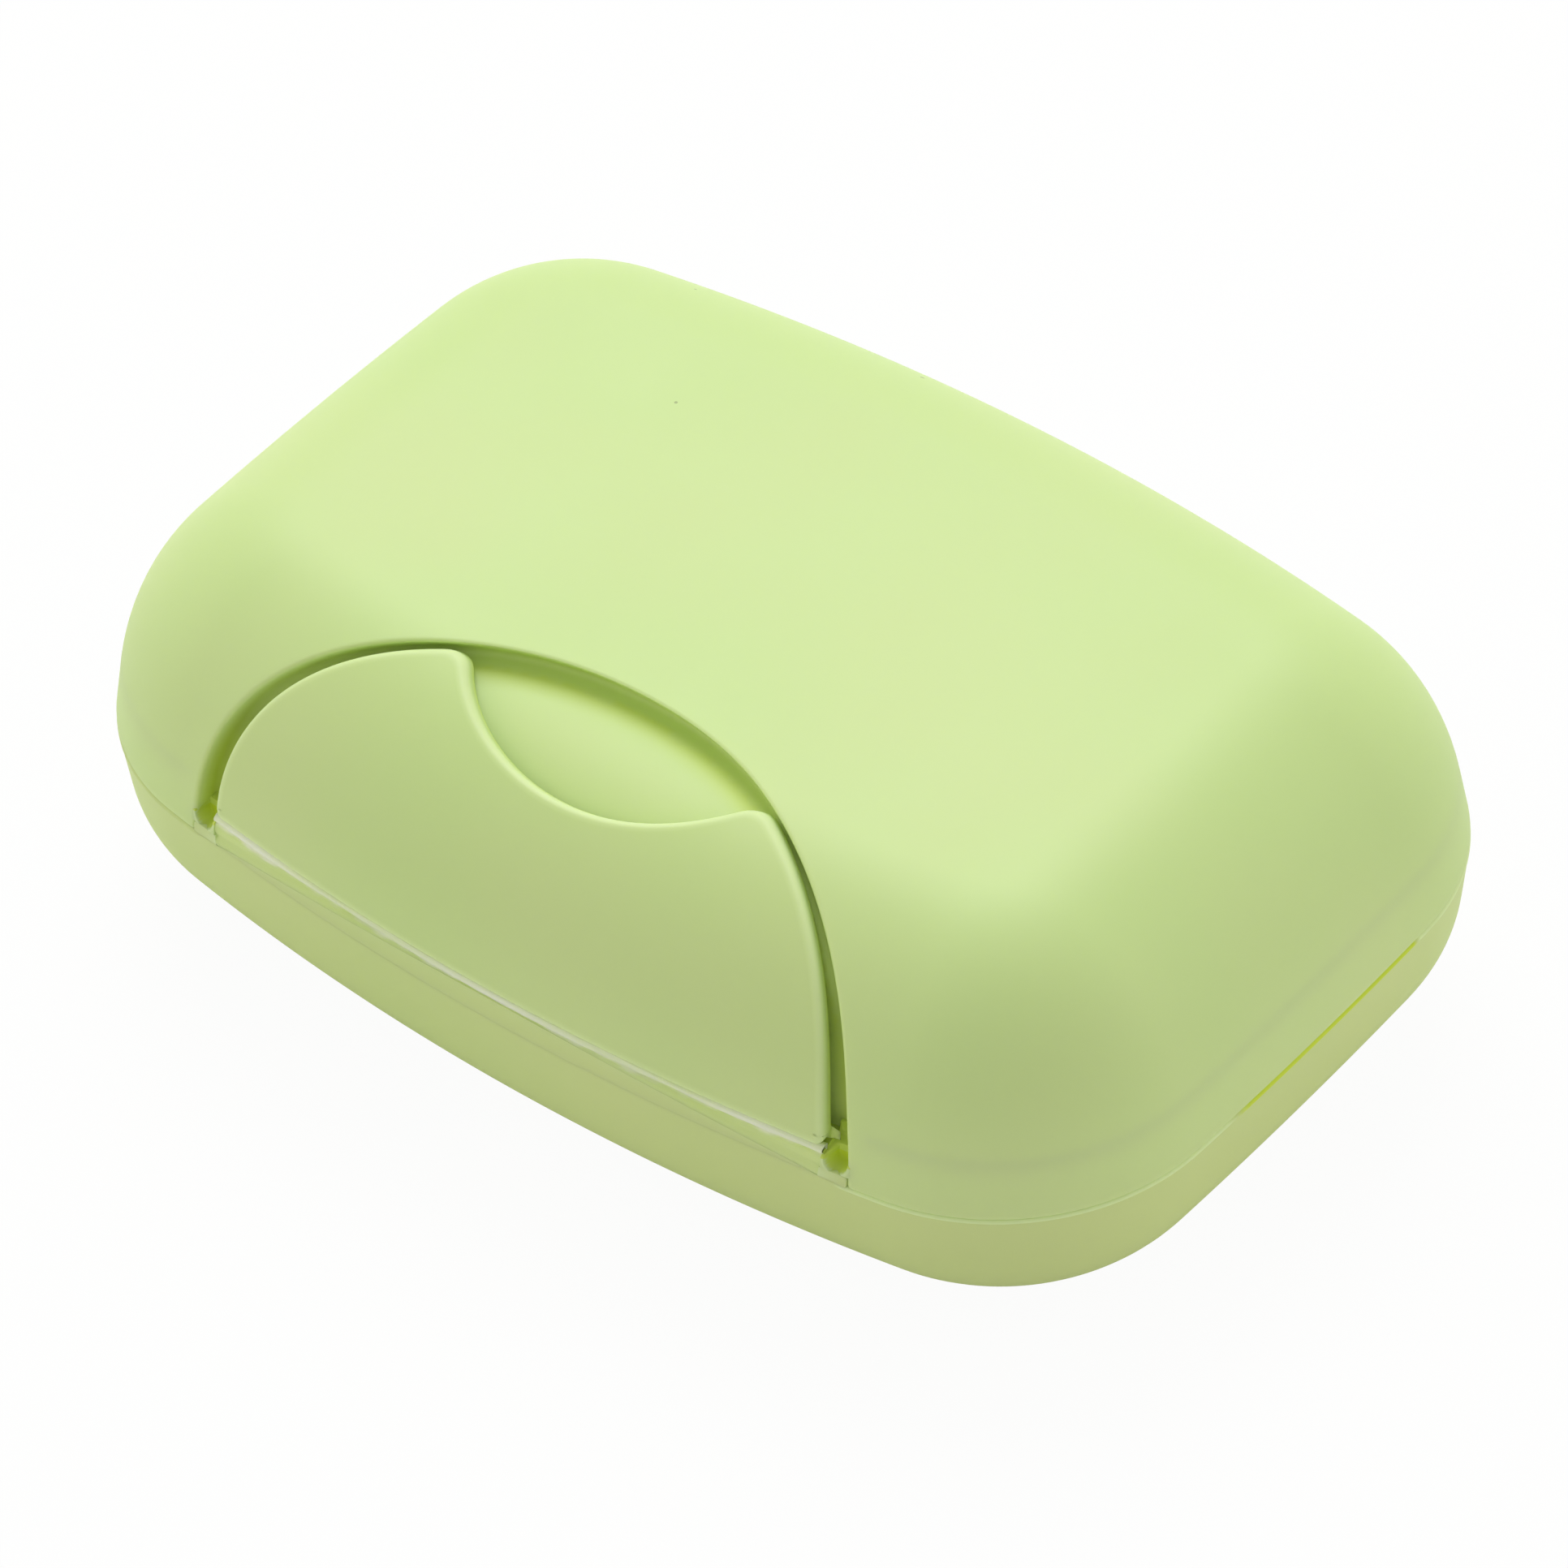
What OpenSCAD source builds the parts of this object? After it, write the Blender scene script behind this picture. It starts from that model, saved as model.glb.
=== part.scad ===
// Travel soap box: a base, a deeper lid and a front latch flap joined by living hinges,
// with a lift-out drain tray and a sealing ring. +X runs along the box, the latch faces -Y,
// +Z is up, and the origin is the middle of the underside.

/* [Body] */
// Length of the box along X
body_l = 115; // [105:1:130]
// Width of the box along Y, without the hinge pads
body_w = 80; // [74:1:95]
// Height of the base up to the parting line
base_h = 17.3; // [15:0.1:24]
// Height of the lid above the parting line
lid_h = 21.3; // [19:0.1:28]
// Plan radius of the four corners
corner_r = 21.4; // [20:0.1:24]
// Plan radius of the long, gently bowed sides
side_r = 238; // [200:1:400]
// Plan radius of the short, gently bowed ends
end_r = 520; // [300:5:900]
// Wall thickness of the lid
lid_wall = 1.6; // [1.2:0.1:2]
// Wall thickness of the base
base_wall = 1.8; // [1.2:0.1:2]
// Gap between lid and base at the parting line
parting_gap = 0.25; // [0.1:0.05:0.4]

/* [Lid and base curves] */
// How far the lid's shoulder reaches in from the outline
shoulder_w = 18.8; // [15:0.1:19.5]
// Height of the lid's straight, drafted wall under the shoulder
lid_side_h = 4.3; // [2:0.1:6]
// Slope of the lid's wall, in mm inwards per mm up
lid_draft = 0.17; // [0.05:0.01:0.2]
// How far the base's belly reaches in from the outline
belly_w = 17.3; // [13:0.1:19]
// Height of the base's straight, drafted wall above the belly
base_side_h = 5.5; // [3:0.1:7]
// Slope of the base's wall, in mm inwards per mm down
base_draft = 0.113; // [0.05:0.005:0.2]

/* [Latch] */
// Half the width of the latch flap at its foot
flap_half_w = 33.8; // [28:0.1:35]
// Height of the flap's arch, measured up its slanted face, before the scoop is cut
flap_h = 30.6; // [27:0.1:31]
// Thickness of the flap
flap_t = 1.5; // [1:0.1:1.7]
// Radius of the finger scoop
scoop_r = 21.5; // [18:0.5:26]
// Height of the lowest point of the scoop
scoop_h = 20.3; // [17:0.1:22]
// Radius of the two ears' tips
ear_r = 2.6; // [1.5:0.1:3.5]
// Half the width of the recess at its foot
recess_half_w = 36.2; // [35.5:0.1:37]
// Height of the recess's arch
recess_h = 30.7; // [30.7:0.1:32]
// Depth of the recess under the flap's ears
recess_depth = 2.2; // [2.1:0.05:2.4]
// Depth of the recess's lower part
snap_depth = 2.9; // [2.7:0.05:3]
// Height of the ledge between the two depths
ledge_h = 15.1; // [13:0.1:17]
// Wall thickness behind the recess
recess_wall = 1.3; // [1:0.05:1.4]
// Height of the flap's foot above the parting line
foot_h = 2.95; // [2.6:0.05:3.4]
// Radius of the two relief holes at the recess's foot
relief_r = 0.7; // [0.5:0.05:0.8]
// Depth of the relief holes
relief_d = 0.8; // [0.4:0.1:1]
// Height of the relief holes above the parting line
relief_z = 2.5; // [2.2:0.1:3]
// Half the length of the snap bead on the flap's back
bead_half_l = 13; // [6:0.5:20]
// How far the snap bead stands out of the flap's back
bead_t = 0.8; // [0.4:0.1:0.9]
// Width of the snap bead
bead_w = 1.8; // [1:0.1:2.5]
// Gap between the snap bead and the ledge above it
bead_gap = 0.5; // [0.3:0.05:1]

/* [Latch hinge] */
// Height of the arched tongue that carries the web, at its middle
tongue_h = 2.35; // [1.8:0.05:2.5]
// Thickness of the tongue
tongue_t = 1.6; // [1.2:0.1:1.8]
// Height of the cheek at each end of the tongue
cheek_h = 1.3; // [1:0.1:2.2]
// Thickness of the moulded hinge webs
web_t = 0.5; // [0.3:0.05:0.6]
// How far the latch's web lies back from the outer face
web_inset = 0.25; // [0.15:0.05:0.4]
// Clearance at the edges of the hinge webs
web_gap = 0.03; // [0.02:0.01:0.05]

/* [Rear hinge] */
// Half the length of the rear hinge pads
pad_half_l = 28; // [20:0.5:32]
// How far the pads stand out behind the box
pad_out = 1.2; // [0.8:0.1:2]
// Height of each pad
pad_h = 3.2; // [2:0.1:4]
// Gap between the two pads, which the web bridges
pad_gap = 0.6; // [0.5:0.05:0.8]

/* [Seal] */
// Distance from the outline to the middle of the sealing line
seal_inset = 5.4; // [5.3:0.05:5.6]
// Thickness of the base's upright rim
rim_t = 1; // [0.8:0.05:1.1]
// Height of the upright rim above the parting line
rim_h = 2.4; // [2:0.1:2.8]
// Thickness of the flange that carries the rim
flange_t = 1.4; // [1:0.1:2]
// How far the flange lies below the parting line
flange_drop = 0.3; // [0.2:0.05:0.5]
// Width of the sealing ring
ring_w = 1.4; // [1.2:0.1:1.6]
// Height of the sealing ring
ring_h = 2.1; // [1.6:0.1:2.6]
// Gap between the ring and the rim below it
seal_gap = 0.25; // [0.15:0.05:0.4]
// How far the ring stands out of its channel
ring_proud = 0.3; // [0.2:0.05:0.5]
// Clearance between the ring and its channel
ring_fit = 0.05; // [0.03:0.01:0.1]
// Thickness of the channel's ribs and roof
channel_t = 0.9; // [0.7:0.05:1.1]

/* [Drain tray] */
// Distance from the outline to the tray's edge, which lets the tray pass the lid's ribs
tray_inset = 10.3; // [9.3:0.1:11]
// Height of the tray's underside above the table
tray_z = 5.6; // [5.4:0.1:7]
// Thickness of the tray's plate
tray_t = 1.4; // [1:0.1:2]
// Height of the tray's lip above its plate
tray_lip_h = 1.6; // [1:0.1:3]
// Thickness of the tray's lip
tray_lip_t = 1; // [0.8:0.1:1.5]
// Width of each drain slot
slot_w = 3; // [2:0.1:3.8]
// Length of each drain slot
slot_l = 20; // [12:0.5:22]
// Distance between neighbouring slots
slot_pitch = 7.5; // [6.5:0.5:10]
// Slots in each of the two rows
slot_count = 11; // [5:2:11]
// Distance from the middle line to the middle of a slot row
slot_row_y = 13; // [12:0.5:15]
// Width of each raised soap rib
soap_rib_w = 1.6; // [1:0.1:2.4]
// Height of each raised soap rib
soap_rib_h = 1.2; // [0.6:0.1:2]
// Radius of the four legs
leg_r = 2.4; // [1.5:0.1:3]
// Distance from the middle to the legs along X
leg_x = 33; // [25:0.5:36]
// Distance from the middle to the legs along Y
leg_y = 13; // [10:0.5:17]

/* [Hidden] */

// Facets of each curve
corner_steps = 8;
side_steps = 8;
end_steps = 4;
curve_steps = 9;
arch_steps = 20;
round_fn = 48;
// Roundness of the recess's and the flap's arches, across and up
recess_power = [2.1, 2.3];
flap_power = [2, 2.5];
// Slant of the direction in which the latch is pressed home, up from the front
press_angle = 45;
// Longer than any cut has to be
reach = 120;
// Overlap that joins two parts of one shell
weld = 0.4;

half_l = body_l / 2;
half_w = body_w / 2;
foot_z = base_h + foot_h;
flange_z = base_h - flange_drop - flange_t;
rim_top = base_h + rim_h;
ring_z = rim_top + seal_gap;
channel_z = ring_z + ring_proud;
channel_top = ring_z + ring_h + ring_fit;
seal_out = seal_inset - ring_w / 2 - ring_fit;
seal_in = seal_inset + ring_w / 2 + ring_fit;
tongue_half_w = flap_half_w + web_gap;
relief_x = (flap_half_w + recess_half_w) / 2;
cheek_half_w = recess_half_w - parting_gap;
hinge_y = half_w + pad_out;
base_color = "#bccf86";
lid_color = "#cfe6a4";
flap_color = "#c3d995";
web_color = "#d9ebb4";
tray_color = "#c9df9c";
ring_color = "#eef2ea";

// Centres of the side and end arcs
side_y = half_w - side_r;
end_x = half_l - end_r;
// The corner's centre lies where the two inner circles about those centres cross
centre_gap = norm([end_x, side_y]);
to_chord = (pow(side_r - corner_r, 2) - pow(end_r - corner_r, 2) + pow(centre_gap, 2)) / (2 * centre_gap);
half_chord = sqrt(pow(side_r - corner_r, 2) - pow(to_chord, 2));
corner_x = end_x * to_chord / centre_gap - side_y * half_chord / centre_gap;
corner_y = side_y - side_y * to_chord / centre_gap - end_x * half_chord / centre_gap;
// Directions in which the corner's arc meets the end and the side
end_angle = atan2(corner_y, corner_x - end_x);
side_angle = atan2(corner_y - side_y, corner_x);

// Points of an arc, without its last one
function arc(x, y, r, from, to, steps) =
    [for (i = [0:steps - 1]) let (a = from + (to - from) * i / steps) [x + r * cos(a), y + r * sin(a)]];

// Plan outline of the box, moved inwards by inset
function outline(inset) = concat(
    arc(end_x, 0, end_r - inset, -end_angle, end_angle, end_steps),
    arc(corner_x, corner_y, corner_r - inset, end_angle, side_angle, corner_steps),
    arc(0, side_y, side_r - inset, side_angle, 180 - side_angle, side_steps),
    arc(-corner_x, corner_y, corner_r - inset, 180 - side_angle, 180 - end_angle, corner_steps),
    arc(-end_x, 0, end_r - inset, 180 - end_angle, 180 + end_angle, end_steps),
    arc(-corner_x, -corner_y, corner_r - inset, 180 + end_angle, 180 + side_angle, corner_steps),
    arc(0, -side_y, side_r - inset, 180 + side_angle, 360 - side_angle, side_steps),
    arc(corner_x, -corner_y, corner_r - inset, 360 - side_angle, 360 - end_angle, corner_steps));

// Section of a shell as [inwards, away from the parting line] points: a drafted wall, then a
// quarter of an ellipse that starts at the wall's slope and ends flat, all moved in by inset
function section(width, height, side_h, draft, inset) =
    let (curve_w = width - draft * side_h)
    let (curve_h = height - side_h)
    let (lean = draft * curve_h / curve_w)
    let (start = asin(lean / (1 - lean)))
    let (a = curve_w / cos(start))
    let (b = curve_h / (1 - sin(start)))
    let (wall_len = norm([1, draft]))
    concat(
        [[inset / wall_len, -inset * draft / wall_len]],
        [for (i = [0:curve_steps])
            let (t = start + (90 - start) * i / curve_steps)
            let (slope = [a * sin(t), b * cos(t)] / norm([a * sin(t), b * cos(t)]))
            [draft * side_h + a * (cos(start) - cos(t)) + inset * slope[1],
                side_h + b * (sin(t) - sin(start)) - inset * slope[0]]]);

// Level ring of the outline at one point of a section
function ring(p, up) = [for (q = outline(p[0])) [q[0], q[1], base_h + up * p[1]]];

// Solid inside a section carried round the outline, built up from the parting line
module dome(points, up) {
    n = len(outline(0));
    for (i = [0:len(points) - 2])
        hull()
            polyhedron(concat(ring(points[i], up), ring(points[i + 1], up)),
                [[for (k = [0:n - 1]) k], [for (k = [0:n - 1]) n + k]]);
}

module lid_form(inset) {
    dome(section(shoulder_w, lid_h, lid_side_h, lid_draft, inset), 1);
}

module base_form(inset) {
    dome(section(belly_w, base_h, base_side_h, base_draft, inset), -1);
}

// Upright band that follows the outline between two insets and two heights
module band(outer, inner, low, high) {
    translate([0, 0, low])
        linear_extrude(high - low)
            difference() {
                polygon(outline(outer));
                polygon(outline(inner));
            }
}

// Everything above a height
module above(z) {
    translate([-reach, -reach, z])
        cube([2 * reach, 2 * reach, reach]);
}

// Everything below a height
module below(z) {
    translate([-reach, -reach, z - reach])
        cube([2 * reach, 2 * reach, reach]);
}

// Cut of a flat shape along the direction in which the latch is pressed home
module pressed() {
    translate([0, -half_w, base_h])
        rotate([press_angle, 0, 0])
            translate([0, 0, -reach / 2])
                linear_extrude(reach)
                    children();
}

// Flat arch of a given half width and height, carried on below its foot
module arch(half, height, power) {
    polygon(concat(
        [[half, -reach], [half, 0]],
        [for (i = [1:arch_steps - 1]) let (a = 90 * i / arch_steps)
            [half * pow(cos(a), 2 / power[0]), height * pow(sin(a), 2 / power[1])]],
        [[0, height]],
        [for (i = [arch_steps - 1:-1:1]) let (a = 90 * i / arch_steps)
            [-half * pow(cos(a), 2 / power[0]), height * pow(sin(a), 2 / power[1])]],
        [[-half, 0], [-half, -reach]]));
}

module recess_arch(margin) {
    arch(recess_half_w + margin, recess_h + margin, recess_power);
}

// Space in front of the recess's stepped floor, grown by the given margin on every side
module recess_space(margin) {
    difference() {
        pressed()
            recess_arch(margin);
        difference() {
            lid_form(recess_depth + margin);
            difference() {
                pressed()
                    translate([-reach / 2, -reach])
                        square([reach, reach + ledge_h + margin]);
                lid_form(snap_depth + margin);
            }
        }
    }
}

// The flap seen along its press direction, with the scoop cut and the ears' tips rounded
module flap_shape() {
    offset(r = ear_r, $fn = round_fn)
        offset(delta = -ear_r)
            difference() {
                arch(flap_half_w, flap_h, flap_power);
                translate([0, scoop_h + scoop_r])
                    circle(scoop_r, $fn = 2 * round_fn);
            }
}

// Shape of the tongue's top in front view: an arch between two end cheeks
module tongue_front() {
    polygon(concat(
        [[-cheek_half_w, -weld], [cheek_half_w, -weld], [cheek_half_w, cheek_h], [tongue_half_w, cheek_h]],
        [for (i = [0:arch_steps]) let (x = tongue_half_w * (1 - 2 * i / arch_steps))
            [x, tongue_h - (tongue_h + web_gap) * pow(x / tongue_half_w, 2)]],
        [[-tongue_half_w, cheek_h], [-cheek_half_w, cheek_h]]));
}

// Front view shape carried through the front wall
module front_cut() {
    translate([0, 0, base_h])
        rotate([90, 0, 0])
            linear_extrude(body_w)
                children();
}

// Block behind the box that a hinge pad is cut from
module pad_block(low, high) {
    translate([-pad_half_l, 0, low])
        cube([2 * pad_half_l, hinge_y, high - low]);
}

module base_shell() {
    color(base_color) {
        difference() {
            union() {
                base_form(0);
                difference() {
                    pad_block(base_h - pad_h, base_h - pad_gap / 2);
                    base_form(weld);
                }
            }
            base_form(base_wall);
        }
        intersection() {
            base_form(weld);
            band(weld, seal_inset, flange_z, base_h - flange_drop);
        }
        band(seal_inset - rim_t / 2, seal_inset + rim_t / 2, flange_z + weld, rim_top);
        intersection() {
            difference() {
                lid_form(0);
                lid_form(tongue_t);
            }
            front_cut()
                tongue_front();
        }
    }
}

module lid_shell() {
    color(lid_color)
        difference() {
            union() {
                difference() {
                    union() {
                        lid_form(0);
                        difference() {
                            pad_block(base_h + pad_gap / 2, base_h + pad_h);
                            lid_form(weld);
                        }
                    }
                    difference() {
                        lid_form(lid_wall);
                        recess_space(recess_wall);
                    }
                }
                intersection() {
                    lid_form(weld);
                    union() {
                        band(weld, seal_inset, channel_top - weld, channel_top + channel_t);
                        band(seal_out - channel_t, seal_in + channel_t, channel_z, channel_top + channel_t / 2);
                    }
                }
            }
            recess_space(0);
            band(seal_out, seal_in, ring_z, channel_top);
            difference() {
                for (x = [-relief_x, relief_x])
                    translate([x, -half_w, base_h + relief_z])
                        rotate([-90, 0, 0])
                            cylinder(h = half_w, r = relief_r, $fn = round_fn);
                lid_form(snap_depth + relief_d);
            }
            below(base_h + parting_gap);
        }
}

module sealing_ring() {
    color(ring_color)
        band(seal_out + ring_fit, seal_in - ring_fit, ring_z, ring_z + ring_h);
}

module latch_flap() {
    color(flap_color)
        intersection() {
            union() {
                difference() {
                    intersection() {
                        lid_form(0);
                        pressed()
                            flap_shape();
                    }
                    lid_form(flap_t);
                }
                difference() {
                    intersection() {
                        lid_form(flap_t / 2);
                        pressed()
                            translate([-bead_half_l, ledge_h - bead_gap - bead_w])
                                square([2 * bead_half_l, bead_w]);
                    }
                    lid_form(flap_t + bead_t);
                }
            }
            above(foot_z);
        }
}

// The film fills what the tongue's arch leaves open under the flap's foot
module latch_hinge_web() {
    color(web_color)
        difference() {
            intersection() {
                lid_form(web_inset);
                front_cut()
                    translate([-flap_half_w, web_gap])
                        square([2 * flap_half_w, foot_h - 2 * web_gap]);
            }
            lid_form(web_inset + web_t);
            translate([0, 0, web_gap])
                front_cut()
                    tongue_front();
        }
}

module rear_hinge_web() {
    color(web_color)
        translate([-pad_half_l, hinge_y - web_t, base_h - pad_gap / 2 + web_gap])
            cube([2 * pad_half_l, web_t, pad_gap - 2 * web_gap]);
}

module drain_tray() {
    color(tray_color) {
        translate([0, 0, tray_z])
            linear_extrude(tray_t)
                difference() {
                    polygon(outline(tray_inset));
                    for (i = [0:slot_count - 1], row = [-1, 1])
                        translate([(i - (slot_count - 1) / 2) * slot_pitch, row * slot_row_y])
                            for (end = [-1, 1])
                                slot_half(end);
                }
        band(tray_inset, tray_inset + tray_lip_t, tray_z, tray_z + tray_t + tray_lip_h);
        for (i = [0:slot_count])
            translate([(i - slot_count / 2) * slot_pitch - soap_rib_w / 2, -slot_row_y - slot_l / 2, tray_z])
                cube([soap_rib_w, 2 * slot_row_y + slot_l, tray_t + soap_rib_h]);
        for (x = [-leg_x, leg_x], y = [-leg_y, leg_y])
            translate([x, y, base_wall])
                cylinder(h = tray_z - base_wall + tray_t / 2, r = leg_r, $fn = round_fn);
    }
}

// Half of a round-ended slot, along Y
module slot_half(end) {
    straight = slot_l / 2 - slot_w / 2;
    translate([-slot_w / 2, end > 0 ? 0 : -straight])
        square([slot_w, straight]);
    translate([0, end * straight])
        circle(slot_w / 2, $fn = round_fn);
}

base_shell();
drain_tray();
lid_shell();
sealing_ring();
latch_flap();
latch_hinge_web();
rear_hinge_web();
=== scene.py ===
"""Looks of a travel soap box: pale green shells, a latch flap on a living hinge, a ring and a tray."""

import logging
import math
from dataclasses import dataclass
from enum import Enum
from functools import lru_cache
from typing import Callable, Iterable, Sequence

import bpy
import numpy as np
from mathutils import Matrix, Vector
from mathutils.geometry import delaunay_2d_cdt


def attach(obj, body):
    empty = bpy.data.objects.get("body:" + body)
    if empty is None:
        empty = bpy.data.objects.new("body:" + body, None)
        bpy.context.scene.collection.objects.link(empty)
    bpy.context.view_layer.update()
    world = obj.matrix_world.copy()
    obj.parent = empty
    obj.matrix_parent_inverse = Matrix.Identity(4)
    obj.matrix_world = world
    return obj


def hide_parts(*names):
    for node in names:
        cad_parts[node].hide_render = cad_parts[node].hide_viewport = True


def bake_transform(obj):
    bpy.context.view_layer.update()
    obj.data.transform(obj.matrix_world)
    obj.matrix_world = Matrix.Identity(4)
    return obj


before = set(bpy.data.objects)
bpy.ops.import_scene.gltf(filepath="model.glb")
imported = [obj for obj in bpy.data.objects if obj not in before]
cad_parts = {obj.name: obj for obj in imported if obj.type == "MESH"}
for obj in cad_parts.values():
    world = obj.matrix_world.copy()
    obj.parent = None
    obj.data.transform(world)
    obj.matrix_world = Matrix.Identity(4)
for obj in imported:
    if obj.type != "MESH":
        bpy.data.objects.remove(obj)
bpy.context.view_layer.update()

LOG = logging.getLogger("soap_box")
MM = 0.001
ROOT_HALF = math.sqrt(0.5)
PARTING = 17.3
REAR_HALF = 28.0
REAR_OUT = 41.2
Color = tuple[float, float, float]
Face = tuple[int, ...]
Cell = tuple[int, int]
Numbers = np.ndarray | float


# Shared forms


@dataclass(frozen=True)
class PlanOutline:
    """Rounded plan outline of bowed sides, bowed ends and corner arcs, in millimetres.

    Places along it are lengths from the middle of the back, running anticlockwise seen from above.
    """

    length: float = 115.0
    width: float = 80.0
    corner: float = 21.4
    side: float = 238.0
    end: float = 520.0
    front_reach: float = 60.0

    @lru_cache(maxsize=None)
    def arcs(self) -> tuple[np.ndarray, ...]:
        """Returns: centre x and y, radius, first angle and first length of each arc, and the total length."""
        side_y = self.width / 2 - self.side
        end_x = self.length / 2 - self.end
        gap = math.hypot(end_x, side_y)
        chord = ((self.side - self.corner) ** 2 - (self.end - self.corner) ** 2 + gap**2) / (2 * gap)
        half = math.sqrt((self.side - self.corner) ** 2 - chord**2)
        cx = end_x * chord / gap - side_y * half / gap
        cy = side_y - side_y * chord / gap - end_x * half / gap
        at_end = math.atan2(cy, cx - end_x)
        at_side = math.atan2(cy - side_y, cx)
        turns = [
            (0.25, 0.0), (0.5, -at_side), (0.5, -at_end), (0.5, at_end), (0.5, at_side),
            (1.0, -at_side), (1.0, -at_end), (1.0, at_end), (1.0, at_side), (1.25, 0.0),
        ]
        angle = np.array([turn * 2 * math.pi + more for turn, more in turns])
        centre_x = np.array([0.0, -cx, -end_x, -cx, 0.0, cx, end_x, cx, 0.0])
        centre_y = np.array([side_y, cy, 0.0, -cy, -side_y, -cy, 0.0, cy, side_y])
        radius = np.array([self.side, self.corner, self.end, self.corner] * 2 + [self.side])
        starts = np.concatenate([[0.0], np.cumsum(radius * np.diff(angle))])
        return centre_x, centre_y, radius, angle[:-1], starts[:-1], starts[-1]

    @property
    def total(self) -> float:
        """Length all the way round."""
        return float(self.arcs()[5])

    def is_front(self, u: np.ndarray) -> np.ndarray:
        """Returns: which lengths u lie near the middle of the front."""
        return np.abs(u - self.total / 2) < self.front_reach

    def place(self, u: np.ndarray, inset: np.ndarray) -> tuple[np.ndarray, np.ndarray]:
        """Returns: x and y of points at lengths u, moved in by inset."""
        cx, cy, radius, first, start, total = self.arcs()
        u = np.mod(u, total)
        k = np.clip(np.searchsorted(start, u, side="right") - 1, 0, len(start) - 1)
        angle = first[k] + (u - start[k]) / radius[k]
        return cx[k] + (radius[k] - inset) * np.cos(angle), cy[k] + (radius[k] - inset) * np.sin(angle)

    def front(self, x: Numbers, inset: Numbers) -> tuple[np.ndarray, np.ndarray]:
        """Finds the front wall at given x.

        Args:
            x: places across the front.
            inset: distances inwards.
        Returns:
            y there, and the length along the outline.
        """
        cx, cy, _, first, _, total = self.arcs()
        lean = first[5] - 1.5 * math.pi
        side_r = self.side - inset
        corner_r = self.corner - inset
        on_side = np.abs(x) <= side_r * math.sin(lean)
        turn = np.arcsin(np.clip(x / side_r, -1, 1))
        bend = np.arcsin(np.clip((np.abs(x) - cx[5]) / corner_r, -1, 1))
        y = np.where(on_side, cy[4] - side_r * np.cos(turn), cy[5] - corner_r * np.cos(bend))
        u_bend = np.sign(x) * (self.side * lean + self.corner * (bend - lean))
        return y, total / 2 + np.where(on_side, self.side * turn, u_bend)


PLAN = PlanOutline()


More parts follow.
